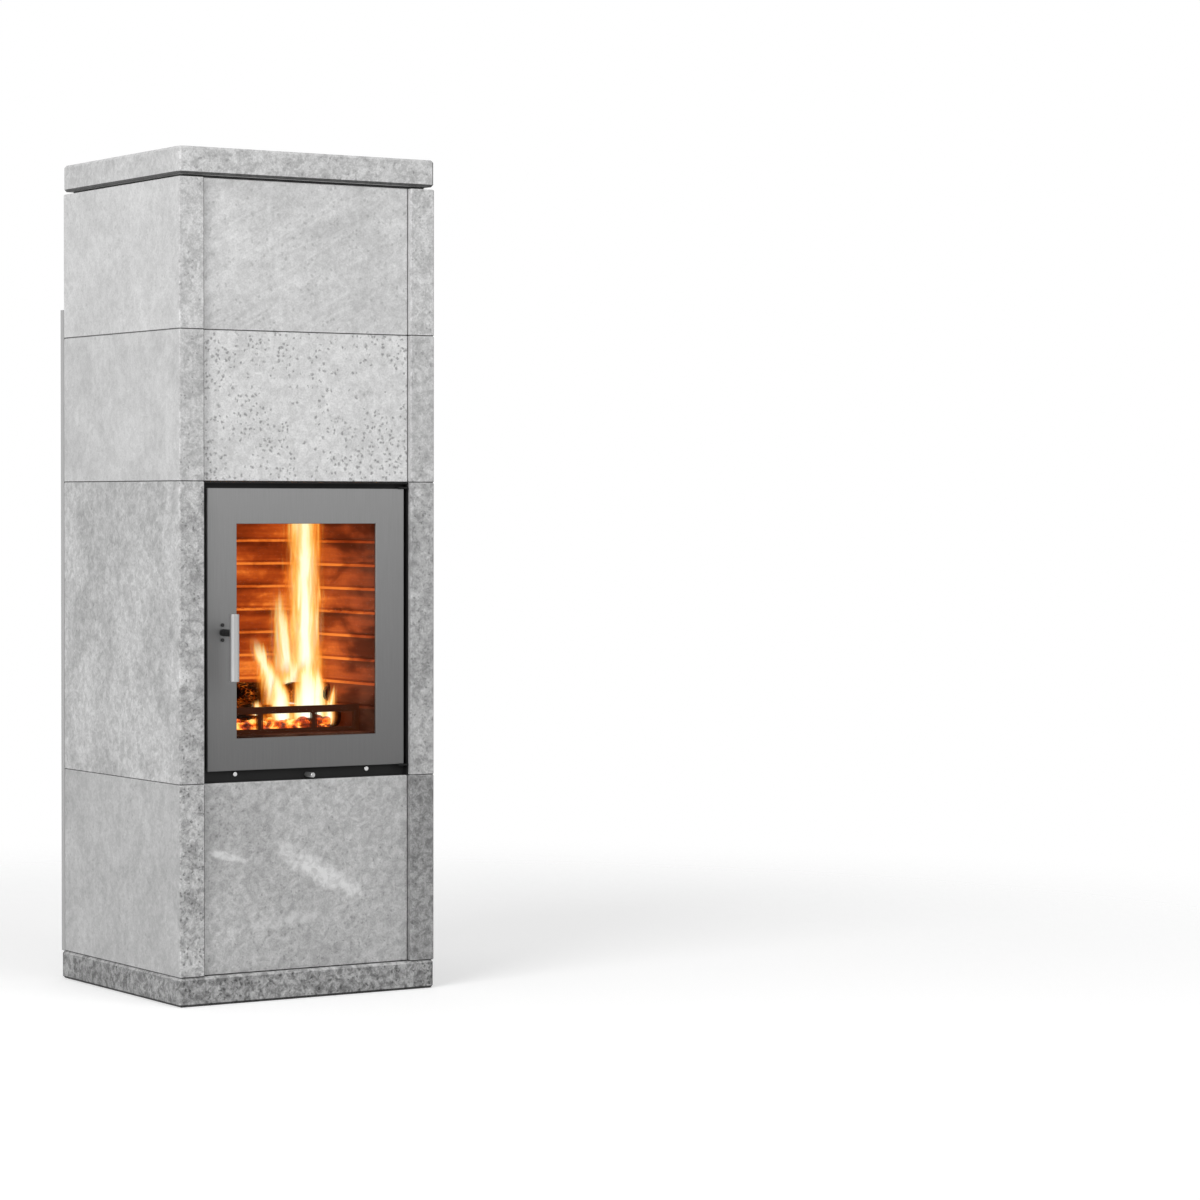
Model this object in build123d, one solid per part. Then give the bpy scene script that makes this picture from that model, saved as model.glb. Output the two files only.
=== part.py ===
from build123d import *
import math
import os

# Tall soapstone stove with a glazed fire door, built from stacked stone courses around a masonry core.
# The frame is in millimetres: X to the right, Y towards the back and Z up, seen from the front.
# The origin is the middle of the base slab's underside.
# Every piece that can be lifted off is a node of its own.

# How far a cut runs past the face that it opens
past = 1.0

# Stone shell
body_width = 580.0
side_stone_depth = 540.0
side_stone_thickness = 55.0
front_stone_thickness = 45.0
front_stone_recess = 12.0
back_stone_thickness = 40.0
stone_joint = 0.4
stone_arris = 2.0
slab_arris = 5.0

# Heights of the slabs and courses, from the floor up
base_height = 58.0
lower_course = 382.0
door_course = 600.0
middle_course = 300.0
upper_course = 300.0
top_seal_height = 5.0
top_slab_height = 55.0

# Ceramic strip under the top slab
top_seal_inset = 16.0
top_seal_width = 18.0

# Rear heat shield of sheet steel
shield_depth = 15.0
shield_sheet = 2.0
shield_top = 1400.0
vent_count = 9
vent_length = 38.0
vent_height = 6.0
vent_pitch = 56.0
vent_row_inset = 45.0
shield_screw_inset = 110.0
shield_screw_rise = 160.0
shield_screw_radius = 3.0
shield_screw_bite = 25.0
shield_head_radius = 6.0
shield_head_height = 3.0
spacer_radius = 9.0

# Masonry core
core_gap = 5.0
pedestal_width = 110.0
hearth_thickness = 42.0
floor_thickness = 90.0
lining_thickness = 35.0
lining_joint = 0.5
side_board_thickness = 24.5
back_board_thickness = 26.5
lower_lining_height = 270.0
upper_lining_height = 200.0
first_groove_rise = 50.0
groove_pitch = 48.6
groove_depth = 5.0
air_hole_groove = 4
air_hole_pitch = 50.0
air_hole_inset = 40.0
lining_hole_radius = 4.0
lining_hole_depth = 20.0
baffle_thickness = 30.0
baffle_throat = 85.0
storage_width = 110.0
storage_front_channel = 45.0
shelf_thickness = 40.0
shelf_back_channel = 98.0
top_board_thickness = 30.0

# Ash well, ash pan and grate in the firebox floor
well_side_ledge = 57.0
well_front_ledge = 76.5
well_back_ledge = 22.5
well_depth = 68.0
rebate_ledge = 9.0
grate_thickness = 12.0
grate_clearance = 0.5
grate_bars = 11
grate_slot_width = 8.0
grate_border = 16.0
pan_clearance = 3.0
pan_height = 48.0
pan_sheet = 2.0

# Flue outlet and fresh-air inlet in the back
flue_rise = 165.0
flue_bore_radius = 76.0
collar_wall = 4.0
collar_reach = 52.5
collar_flange = 20.0
collar_flange_thickness = 6.0
collar_screw_count = 4
collar_screw_radius = 3.0
collar_head_radius = 5.5
collar_head_height = 4.0
collar_screw_bite = 20.0
hole_clearance = 0.4
air_drop = 58.0
air_bore_radius = 50.5
air_socket_wall = 2.0
air_box_height = 120.0
air_box_sheet = 3.0
air_box_front_gap = 30.0
air_box_back_gap = 25.0

# Door frame of folded steel
frame_clearance = 0.3
frame_recess = 22.0
frame_sheet = 3.0
frame_lip = 12.0
frame_opening_margin = 41.0
reveal_depth = 12.5
reveal_sheet = 4.0
reveal_slot_count = 5
reveal_slot_length = 44.0
reveal_slot_pitch = 62.0
reveal_slot_width = 6.0
strip_screw_spread = 150.0
strip_screw_shift = -8.0
strip_screw_drop = 7.5
strip_screw_radius = 2.5
strip_head_radius = 5.0
strip_head_height = 3.0
strip_lug_width = 24.0
strip_lug_depth = 12.0

# Door leaf
leaf_recess = 10.0
leaf_side_gap = 11.0
leaf_top_gap = 13.0
leaf_bottom_gap = 24.0
leaf_plate = 4.0
leaf_thickness = 9.5
leaf_rim = 3.0
leaf_edge = 1.0
window_stile = 65.0
window_top_rail = 71.0
window_bottom_rail = 64.0
rope_width = 9.0
rope_offset = 2.5
rope_clearance = 0.3
inner_frame_offset = 12.0
inner_frame_width = 11.0
glass_overlap = 10.0
glass_thickness = 4.0
glass_tape = 2.0
clamp_thickness = 2.0
clamp_overlap = 6.0
clamp_set_in = 1.0
clamp_screw_radius = 1.5
clamp_head_radius = 3.0
clamp_head_height = 2.0
clamp_screw_margin = 60.0

# Hinge
pin_radius = 3.0
pin_inset = 5.0
pin_depth = 20.0
pin_fit = 0.05
hinge_gap = 0.5
lug_thickness = 3.0
lug_reach = 8.0
hinge_block_width = 11.0
hinge_block_height = 24.0

# Door handle and latch
handle_height = 740.0
bar_radius = 9.5
bar_above = 38.0
bar_below = 96.0
bar_reach = 53.0
bar_edge = 1.2
neck_radius = 7.2
neck_groove_width = 1.4
neck_groove_depth = 1.0
neck_groove_pitch = 10.0
neck_tip_radius = 5.0
neck_tip_depth = 7.0
spindle_radius = 5.0
spindle_fit = 0.05
bush_wall = 2.4
bush_length = 6.0
cam_thickness = 6.0
cam_wall = 2.4
cam_width = 10.0
cam_reach = 26.0
cam_offset = 0.5
plate_screw_rise = 15.0
plate_screw_radius = 1.8
plate_head_radius = 3.6
plate_head_height = 2.6

# Air control
air_rod_shift = 5.0
air_rod_rise = 10.0
air_rod_radius = 5.0
air_rod_reach = 28.0
air_rod_edge = 1.0
air_rod_fit = 0.08
valve_thickness = 3.0
valve_width = 100.0
valve_clearance = 0.3
valve_travel = 30.0
valve_slot_width = 22.0
valve_slots = 3
valve_front_offset = 30.0
valve_margin = 16.0
channel_clearance = 1.0

# Log guard
guard_side_gap = 4.0
guard_thickness = 8.0
guard_setback = 55.5
guard_top_rise = 54.0
guard_rail = 14.0
guard_foot_rail = 8.7
guard_post_width = 12.0
guard_inner_spacing = 124.0
guard_clearance = 0.3
socket_depth = 10.0

# Firewood on the grate
log_radius = 27.0
log_side_gap = 15.0
log_shift = 30.0
log_front_gap = 44.0
log_spread = 75.0
top_log_radius = 22.0
top_log_gap = 10.0
top_log_turn = -38.0
log_clearance = 0.3


def span(x, y, z):
    """A box between a low and a high limit on each axis."""
    size = [high - low for low, high in (x, y, z)]
    centre = [(high + low) / 2 for low, high in (x, y, z)]
    return Pos(*centre) * Box(*size)


def rod_y(x, z, radius, y_front, y_back):
    """A round bar along Y."""
    return Pos(x, (y_front + y_back) / 2, z) * Rot(90, 0, 0) * Cylinder(radius, y_back - y_front)


def bore_y(x, z, radius, low, high):
    """A round cut along Y that runs past both ends."""
    return rod_y(x, z, radius, low - past, high + past)


def rod_z(x, y, radius, low, high):
    """A round bar along Z."""
    return Pos(x, y, (low + high) / 2) * Cylinder(radius, high - low)


def arrised(solid, size):
    """The solid with every edge taken off by a small chamfer, as a mason leaves it."""
    return chamfer(solid.edges(), size)


def ring_y(outer, inner, y):
    """A rectangular ring in the XZ plane. outer and inner are (half width, low z, high z)."""
    half_out, low_out, high_out = outer
    half_in, low_in, high_in = inner
    beyond = (y[0] - past, y[1] + past)
    return span((-half_out, half_out), y, (low_out, high_out)) - span(
        (-half_in, half_in), beyond, (low_in, high_in)
    )


def grown(opening, margin):
    """An opening (half width, low z, high z) made larger by a margin all round."""
    half, low, high = opening
    return half + margin, low - margin, high + margin


parts = {}

# Levels
z_base = base_height
z_door = z_base + lower_course
z_lintel = z_door + door_course
z_upper = z_lintel + middle_course
z_crown = z_upper + upper_course
z_slab = z_crown + top_seal_height
z_top = z_slab + top_slab_height
courses = [(z_base, z_door), (z_door, z_lintel), (z_lintel, z_upper), (z_upper, z_crown)]

# Planes from front to back
base_depth = side_stone_depth + shield_depth
y_front = -base_depth / 2
y_back = y_front + side_stone_depth
y_rear = y_back + shield_depth
half_width = body_width / 2
half_inner = half_width - side_stone_thickness
y_stone_front = y_front + front_stone_recess
y_stone_inner = y_stone_front + front_stone_thickness
y_back_inner = y_back - back_stone_thickness

# Air inlet and flue outlet heights
z_hearth = z_door - hearth_thickness
z_air = z_hearth - air_drop
z_flue = z_upper + flue_rise
air_hole_radius = air_bore_radius + air_socket_wall + hole_clearance
flue_hole_radius = flue_bore_radius + collar_wall + hole_clearance
y_outlet_end = y_rear + collar_reach


def shield_screw_places():
    """Where the rear shield is screwed to the back stones: a pair on each course that it covers."""
    for low, high in courses[:3]:
        z = low + shield_screw_rise
        for side in (-1, 1):
            yield side * (half_width - shield_screw_inset), z


def collar_screw_places():
    """Screws on a circle in the collar's flange."""
    radius = flue_bore_radius + collar_wall + collar_flange / 2
    for i in range(collar_screw_count):
        angle = math.radians(45 + i * 360 / collar_screw_count)
        yield radius * math.cos(angle), z_flue + radius * math.sin(angle)


# Base slab, top slab and the strip that seals it
parts["base_slab"] = arrised(
    span((-half_width, half_width), (y_front, y_rear), (0, z_base)), slab_arris
)
parts["top_slab"] = arrised(
    span((-half_width, half_width), (y_front, y_back), (z_slab, z_top)), slab_arris
)
seal_x = half_width - top_seal_inset
seal_front = y_front + top_seal_inset
seal_back = y_back - top_seal_inset
parts["top_seal"] = span(
    (-seal_x, seal_x), (seal_front, seal_back), (z_crown, z_slab)
) - span(
    (-seal_x + top_seal_width, seal_x - top_seal_width),
    (seal_front + top_seal_width, seal_back - top_seal_width),
    (z_crown - past, z_slab + past),
)

# Side stones: one each side of every course, running from front to back
for number, (low, high) in enumerate(courses, 1):
    for side, name in ((-1, "left"), (1, "right")):
        x = sorted((side * half_inner, side * half_width))
        parts[f"side_stone_{name}_{number}"] = arrised(span(x, (y_front, y_back), (low, high)), stone_arris)

# Front stones between the side stones, set back a little from their front ends
half_panel = half_inner - stone_joint
for name, (low, high) in (("lower", courses[0]), ("middle", courses[2]), ("upper", courses[3])):
    parts[f"front_stone_{name}"] = arrised(
        span((-half_panel, half_panel), (y_stone_front, y_stone_inner), (low, high)), stone_arris
    )

# Back stones
for number, (low, high) in enumerate(courses, 1):
    stone = arrised(span((-half_panel, half_panel), (y_back_inner, y_back), (low, high)), stone_arris)
    if number == 1:
        stone -= bore_y(0, z_air, air_hole_radius, y_back_inner, y_back)
    if number == 4:
        stone -= bore_y(0, z_flue, flue_hole_radius, y_back_inner, y_back)
        for x, z in collar_screw_places():
            stone -= rod_y(x, z, collar_screw_radius, y_back - collar_screw_bite, y_back + past)
    for x, z in shield_screw_places():
        if low < z < high:
            stone -= rod_y(x, z, shield_screw_radius, y_back - shield_screw_bite, y_back + past)
    parts[f"back_stone_{number}"] = stone

# Rear heat shield: a folded pan that stands off the back stones
z_shield_top = min(shield_top, z_crown)
y_sheet = y_rear - shield_sheet
shield = span((-half_width, half_width), (y_sheet, y_rear), (z_base, z_shield_top))
for side in (-1, 1):
    x = sorted((side * half_width, side * (half_width - shield_sheet)))
    shield += span(x, (y_back, y_rear), (z_base, z_shield_top))
vent_first = -vent_pitch * (vent_count - 1) / 2
for row in (z_base + vent_row_inset, z_shield_top - vent_row_inset):
    for i in range(vent_count):
        x = vent_first + i * vent_pitch
        shield -= span(
            (x - vent_length / 2, x + vent_length / 2),
            (y_sheet - past, y_rear + past),
            (row - vent_height / 2, row + vent_height / 2),
        )
shield -= bore_y(0, z_air, air_hole_radius, y_back, y_rear)
spacers = []
screws = []
for x, z in shield_screw_places():
    shield -= bore_y(x, z, shield_screw_radius, y_sheet, y_rear)
    spacers.append(
        rod_y(x, z, spacer_radius, y_back, y_sheet) - bore_y(x, z, shield_screw_radius, y_back, y_sheet)
    )
    shank = rod_y(x, z, shield_screw_radius, y_back - shield_screw_bite, y_rear)
    head = rod_y(x, z, shield_head_radius, y_rear, y_rear + shield_head_height)
    screws.append(shank + head)
parts["rear_shield"] = shield
parts["shield_spacers"] = Compound(children=spacers)
parts["shield_screws"] = Compound(children=screws)

# Flue collar: a cast ring through the top back stone
collar_radius = flue_bore_radius + collar_wall
collar = rod_y(0, z_flue, collar_radius, y_back_inner, y_outlet_end)
collar += rod_y(0, z_flue, collar_radius + collar_flange, y_back, y_back + collar_flange_thickness)
collar -= bore_y(0, z_flue, flue_bore_radius, y_back_inner, y_outlet_end)
screws = []
y_flange = y_back + collar_flange_thickness
for x, z in collar_screw_places():
    collar -= bore_y(x, z, collar_screw_radius, y_back, y_flange)
    shank = rod_y(x, z, collar_screw_radius, y_back - collar_screw_bite, y_flange)
    screws.append(shank + rod_y(x, z, collar_head_radius, y_flange, y_flange + collar_head_height))
parts["flue_collar"] = collar
parts["collar_screws"] = Compound(children=screws)

# Core footprint
core_x = half_inner - core_gap
core_front = y_stone_inner + core_gap
core_back = y_back_inner - core_gap

# Pedestal blocks and the hearth slab on them
pedestal_inner = core_x - pedestal_width
pedestals = []
for side in (-1, 1):
    x = sorted((side * pedestal_inner, side * core_x))
    pedestals.append(span(x, (core_front, core_back), (z_base, z_hearth)))
parts["pedestal_blocks"] = Compound(children=pedestals)

# Frame planes, needed by the hearth's air valve too
y_frame = y_front + frame_recess
y_frame_back = y_frame + frame_sheet
y_reveal_back = y_frame_back + reveal_depth
y_floor_front = y_reveal_back + lining_joint

# Air slots in the hearth slab, opened and closed by the valve plate
slot_pitch = 2 * valve_travel
y_valve_front = y_floor_front + valve_front_offset
valve_length = slot_pitch * (valve_slots - 1) + valve_slot_width + 2 * valve_margin
slot_half = valve_width / 2 - valve_margin


def air_slots(z):
    """The row of slots shared by the hearth slab and the valve plate."""
    for i in range(valve_slots):
        y = y_valve_front + valve_margin + i * slot_pitch
        yield span(
            (air_rod_shift - slot_half, air_rod_shift + slot_half), (y, y + valve_slot_width), z
        )


hearth = span((-core_x, core_x), (core_front, core_back), (z_hearth, z_door))
for slot in air_slots((z_hearth - past, z_door + past)):
    hearth -= slot
parts["hearth_slab"] = hearth

# Air box under the hearth slab, open at the top, and the socket that feeds it
box_x = pedestal_inner - core_gap
box_front = core_front + air_box_front_gap
box_back = core_back - air_box_back_gap
box_low = z_hearth - air_box_height
air_box = span((-box_x, box_x), (box_front, box_back), (box_low, z_hearth))
air_box -= span(
    (-box_x + air_box_sheet, box_x - air_box_sheet),
    (box_front + air_box_sheet, box_back - air_box_sheet),
    (box_low + air_box_sheet, z_hearth + past),
)
y_socket = box_back - air_box_sheet
air_box -= bore_y(0, z_air, air_hole_radius, y_socket, box_back)
parts["air_box"] = air_box
parts["fresh_air_socket"] = rod_y(
    0, z_air, air_bore_radius + air_socket_wall, y_socket, y_outlet_end
) - bore_y(0, z_air, air_bore_radius, y_socket, y_outlet_end)

# Firebox faces
lining_x = core_x - side_board_thickness - lining_joint
fire_x = lining_x - lining_thickness
lining_back = core_back - back_board_thickness - lining_joint
y_fire_back = lining_back - lining_thickness
firebox_depth = y_fire_back - y_floor_front

# Firebox floor with its ash well, grate rebate, air channel and guard sockets
z_floor = z_door + floor_thickness
z_grate = z_floor - grate_thickness
z_well = z_floor - well_depth
well_half = fire_x - well_side_ledge
well_front = y_floor_front + well_front_ledge
well_back = y_fire_back - well_back_ledge
rebate_half = well_half + rebate_ledge
channel_half = valve_width / 2 + channel_clearance
z_rod = z_door + air_rod_rise
channel_top = z_rod + air_rod_radius + channel_clearance
y_guard = y_floor_front + guard_setback
guard_y = (y_guard, y_guard + guard_thickness)
floor_block = span((-core_x, core_x), (y_floor_front, core_back), (z_door, z_floor))
floor_block -= span((-well_half, well_half), (well_front, well_back), (z_well, z_floor + past))
floor_block -= span(
    (-rebate_half, rebate_half),
    (well_front - rebate_ledge, well_back + rebate_ledge),
    (z_grate, z_floor + past),
)
floor_block -= span(
    (air_rod_shift - channel_half, air_rod_shift + channel_half),
    (y_floor_front - past, y_valve_front + valve_length + channel_clearance),
    (z_door - past, channel_top),
)
guard_half = fire_x - guard_side_gap
guard_foot_x = guard_half - guard_post_width / 2
socket_half = guard_post_width / 2 + guard_clearance
for side in (-1, 1):
    x = side * guard_foot_x
    floor_block -= span(
        (x - socket_half, x + socket_half),
        (guard_y[0] - guard_clearance, guard_y[1] + guard_clearance),
        (z_floor - socket_depth - guard_clearance, z_floor + past),
    )
parts["firebox_floor"] = floor_block

# Ash pan in the well
pan_x = well_half - pan_clearance
pan_front = well_front + pan_clearance
pan_back = well_back - pan_clearance
ash_pan = span((-pan_x, pan_x), (pan_front, pan_back), (z_well, z_well + pan_height))
ash_pan -= span(
    (-pan_x + pan_sheet, pan_x - pan_sheet),
    (pan_front + pan_sheet, pan_back - pan_sheet),
    (z_well + pan_sheet, z_well + pan_height + past),
)
parts["ash_pan"] = ash_pan

# Cast grate in its rebate
grate_x = rebate_half - grate_clearance
grate_front = well_front - rebate_ledge + grate_clearance
grate_back = well_back + rebate_ledge - grate_clearance
grate = span((-grate_x, grate_x), (grate_front, grate_back), (z_grate, z_floor))
bar_step = 2 * (grate_x - grate_border) / grate_bars
for i in range(grate_bars):
    x = -grate_x + grate_border + (i + 0.5) * bar_step
    grate -= span(
        (x - grate_slot_width / 2, x + grate_slot_width / 2),
        (grate_front + grate_border, grate_back - grate_border),
        (z_grate - past, z_floor + past),
    )
parts["grate"] = grate

# Firebox lining, ribbed by V grooves on the fire side, with a row of air holes in one groove
z_lining = z_floor + lower_lining_height
z_baffle = z_lining + upper_lining_height
groove_side = groove_depth * math.sqrt(2)


z_air_holes = z_floor + first_groove_rise + air_hole_groove * groove_pitch


def hole_places(low, high):
    """Places of the air holes between two ends of a wall, the same distance in from both."""
    room = high - low - 2 * air_hole_inset
    count = int(room / air_hole_pitch)
    for i in range(count + 1):
        yield (low + high) / 2 + (i - count / 2) * air_hole_pitch


def groove_levels(low, high):
    """Heights of the lining grooves that lie well inside one slab."""
    z = z_floor + first_groove_rise
    while z < high - groove_depth:
        if z > low + groove_depth:
            yield z
        z += groove_pitch


def back_lining(low, high):
    """One grooved slab of the firebox's back wall."""
    slab = span((-lining_x, lining_x), (y_fire_back, lining_back), (low, high))
    for z in groove_levels(low, high):
        slab -= Pos(0, y_fire_back, z) * Rot(45, 0, 0) * Box(2 * (lining_x + past), groove_side, groove_side)
    if low < z_air_holes < high:
        for x in hole_places(-fire_x, fire_x):
            slab -= bore_y(x, z_air_holes, lining_hole_radius, y_fire_back, y_fire_back + lining_hole_depth)
    return slab


def side_lining(side, low, high):
    """One grooved slab of a side wall. side is -1 on the left and 1 on the right."""
    slab = span(sorted((side * fire_x, side * lining_x)), (y_floor_front, y_fire_back), (low, high))
    middle = (y_floor_front + y_fire_back) / 2
    for z in groove_levels(low, high):
        groove = Box(groove_side, firebox_depth + 2 * past, groove_side)
        slab -= Pos(side * fire_x, middle, z) * Rot(0, 45, 0) * groove
    if low < z_air_holes < high:
        for y in hole_places(y_floor_front, y_fire_back):
            hole = Cylinder(lining_hole_radius, 2 * lining_hole_depth)
            slab -= Pos(side * fire_x, y, z_air_holes) * Rot(0, 90, 0) * hole
    return slab


tiers = {"lower": (z_floor, z_lining), "upper": (z_lining, z_baffle)}
for name, tier in tiers.items():
    parts[f"lining_back_{name}"] = back_lining(*tier)
for side, hand in ((-1, "left"), (1, "right")):
    slabs = [side_lining(side, *tier) for tier in tiers.values()]
    parts[f"lining_{hand}"] = Compound(children=slabs)

# Insulation boards between the lining and the stones
board_inner = lining_x + lining_joint
board_z = (z_floor, z_baffle)
boards = [span((-lining_x, lining_x), (lining_back + lining_joint, core_back), board_z)]
for side in (-1, 1):
    x = sorted((side * board_inner, side * core_x))
    boards.append(span(x, (y_floor_front, core_back), board_z))
parts["insulation_boards"] = Compound(children=boards)

# Baffle, heat-storage blocks and smoke shelf above the fire
z_store = z_baffle + baffle_thickness
store_front = core_front + storage_front_channel
store_inner = core_x - storage_width
z_shelf = z_upper - shelf_thickness
z_board = z_crown - top_board_thickness
parts["baffle_plate"] = span(
    (-lining_x, lining_x), (y_floor_front + baffle_throat, lining_back), (z_baffle, z_store)
)
parts["smoke_shelf"] = span(
    (-core_x, core_x), (store_front, core_back - shelf_back_channel), (z_shelf, z_upper)
)
blocks = []
for side in (-1, 1):
    x = sorted((side * store_inner, side * core_x))
    for z in ((z_store, z_shelf), (z_upper, z_board)):
        blocks.append(span(x, (store_front, core_back), z))
parts["storage_blocks"] = Compound(children=blocks)
parts["top_board"] = span((-core_x, core_x), (core_front, core_back), (z_board, z_crown))

# Door leaf, window and the openings that follow from them
leaf_half = half_inner - leaf_side_gap
leaf_low = z_door + leaf_bottom_gap
leaf_high = z_lintel - leaf_top_gap
window = (leaf_half - window_stile, leaf_low + window_bottom_rail, leaf_high - window_top_rail)
frame_opening = grown(window, frame_opening_margin)
y_leaf = y_front + leaf_recess
y_plate_back = y_leaf + leaf_plate
y_leaf_back = y_leaf + leaf_thickness
hinge_x = leaf_half - pin_inset
hinge_y = y_leaf + leaf_thickness / 2
strip_screw_z = leaf_low - strip_screw_drop
strip_screw_x = [strip_screw_shift + side * strip_screw_spread for side in (-1, 1)]

# Door frame: front sheet, lips on three sides, reveal tube, hinge lugs and screw lugs
frame_outer = (half_inner - frame_clearance, z_door + frame_clearance, z_lintel - frame_clearance)
frame_half, frame_low, frame_high = frame_outer
y_lip = y_frame - frame_lip
frame = ring_y(frame_outer, frame_opening, (y_frame, y_frame_back))
frame += span((-frame_half, frame_half), (y_lip, y_frame), (frame_high - frame_sheet, frame_high))
for side in (-1, 1):
    x = sorted((side * frame_half, side * (frame_half - frame_sheet)))
    frame += span(x, (y_lip, y_frame), (frame_low, frame_high))
frame += ring_y(grown(frame_opening, reveal_sheet), frame_opening, (y_frame_back, y_reveal_back))
slot_first = -reveal_slot_pitch * (reveal_slot_count - 1) / 2
for i in range(reveal_slot_count):
    x = slot_first + i * reveal_slot_pitch
    y = (y_frame_back + y_reveal_back) / 2
    frame -= span(
        (x - reveal_slot_length / 2, x + reveal_slot_length / 2),
        (y - reveal_slot_width / 2, y + reveal_slot_width / 2),
        (frame_opening[1] - reveal_sheet - past, frame_opening[1] + past),
    )
lug_levels = {
    "low": (leaf_low - hinge_gap - lug_thickness, leaf_low - hinge_gap),
    "high": (leaf_high + hinge_gap, leaf_high + hinge_gap + lug_thickness),
}
for z in lug_levels.values():
    frame += span((hinge_x - lug_reach, frame_half - frame_sheet), (hinge_y - lug_reach, y_frame), z)
    frame -= rod_z(hinge_x, hinge_y, pin_radius + pin_fit, z[0] - past, z[1] + past)
for x in strip_screw_x:
    frame += span(
        (x - strip_lug_width / 2, x + strip_lug_width / 2),
        (y_frame_back, y_frame_back + strip_lug_depth),
        (frame_low, leaf_low),
    )
    frame -= bore_y(x, strip_screw_z, strip_screw_radius, y_frame, y_frame_back + strip_lug_depth)
frame -= bore_y(air_rod_shift, z_rod, air_rod_radius + air_rod_fit, y_frame, y_frame_back)
parts["door_frame"] = frame
parts["strip_screws"] = Compound(
    children=[
        rod_y(x, strip_screw_z, strip_screw_radius, y_frame, y_frame_back + strip_lug_depth)
        + fillet(
            rod_y(x, strip_screw_z, strip_head_radius, y_frame - strip_head_height, y_frame)
            .edges()
            .group_by(Axis.Y)[0],
            strip_head_height / 2,
        )
        for x in strip_screw_x
    ]
)

# Door leaf: a plate folded back round its edge, with blocks for the hinge pins
handle_x = -(window[0] + leaf_half) / 2
leaf = ring_y((leaf_half, leaf_low, leaf_high), window, (y_leaf, y_plate_back))
leaf = chamfer(leaf.faces().sort_by(Axis.Y)[0].edges(), leaf_edge)
leaf += ring_y(
    (leaf_half, leaf_low, leaf_high),
    grown((leaf_half, leaf_low, leaf_high), -leaf_rim),
    (y_plate_back, y_leaf_back),
)
pins = []
for low, high in (
    (leaf_low, leaf_low + hinge_block_height),
    (leaf_high - hinge_block_height, leaf_high),
):
    leaf += span((leaf_half - hinge_block_width, leaf_half), (y_plate_back, y_leaf_back), (low, high))
for low, high in (
    (lug_levels["low"][0], leaf_low + pin_depth),
    (leaf_high - pin_depth, lug_levels["high"][1]),
):
    pin = rod_z(hinge_x, hinge_y, pin_radius, low, high)
    pins.append(pin)
    leaf -= pin
leaf -= bore_y(handle_x, handle_height, spindle_radius + spindle_fit, y_leaf, y_plate_back)
plate_screws = []
for side in (-1, 1):
    z = handle_height + side * plate_screw_rise
    leaf -= bore_y(handle_x, z, plate_screw_radius, y_leaf, y_plate_back)
    shank = rod_y(handle_x, z, plate_screw_radius, y_leaf, y_plate_back)
    plate_screws.append(shank + rod_y(handle_x, z, plate_head_radius, y_leaf - plate_head_height, y_leaf))
parts["door_leaf"] = leaf
parts["hinge_pins"] = Compound(children=pins)
parts["handle_screws"] = Compound(children=plate_screws)

# Rope seal on the leaf, window seal, glass, the frame that holds it and its clamps
rope_inner = grown(frame_opening, rope_offset)
parts["door_rope"] = ring_y(
    grown(rope_inner, rope_width), rope_inner, (y_plate_back, y_frame - rope_clearance)
)
y_glass = y_plate_back + glass_tape
y_glass_back = y_glass + glass_thickness
glass_area = grown(window, glass_overlap)
parts["glass_tape"] = ring_y(glass_area, window, (y_plate_back, y_glass))
parts["door_glass"] = span(
    (-glass_area[0], glass_area[0]), (y_glass, y_glass_back), glass_area[1:]
)
holder_inner = grown(window, inner_frame_offset)
holder_outer = grown(holder_inner, inner_frame_width)
holder = ring_y(holder_outer, holder_inner, (y_plate_back, y_glass_back))
clamp_inner = grown(glass_area, -clamp_overlap)
clamp_outer = grown(holder_inner, inner_frame_width - clamp_set_in)
y_clamp_back = y_glass_back + clamp_thickness
clamp_y = (y_glass_back, y_clamp_back)
clamps = [
    span((-clamp_outer[0], clamp_outer[0]), clamp_y, (clamp_outer[1], clamp_inner[1])),
    span((-clamp_outer[0], clamp_outer[0]), clamp_y, (clamp_inner[2], clamp_outer[2])),
    span((-clamp_outer[0], -clamp_inner[0]), clamp_y, clamp_inner[1:]),
    span((clamp_inner[0], clamp_outer[0]), clamp_y, clamp_inner[1:]),
]
line_half, line_low, line_high = grown(holder_inner, inner_frame_width / 2)
clamp_screw_places = [
    (side * (line_half - clamp_screw_margin), z) for side in (-1, 1) for z in (line_low, line_high)
] + [
    (side * line_half, z)
    for side in (-1, 1)
    for z in (line_low + clamp_screw_margin, line_high - clamp_screw_margin)
]
clamp_screws = []
for x, z in clamp_screw_places:
    hole = rod_y(x, z, clamp_screw_radius, y_glass, y_clamp_back)
    holder -= hole
    clamps = [clamp - hole for clamp in clamps]
    clamp_screws.append(
        hole + rod_y(x, z, clamp_head_radius, y_clamp_back, y_clamp_back + clamp_head_height)
    )
parts["glass_holder"] = holder
parts["glass_clamps"] = Compound(children=clamps)
parts["clamp_screws"] = Compound(children=clamp_screws)

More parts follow.
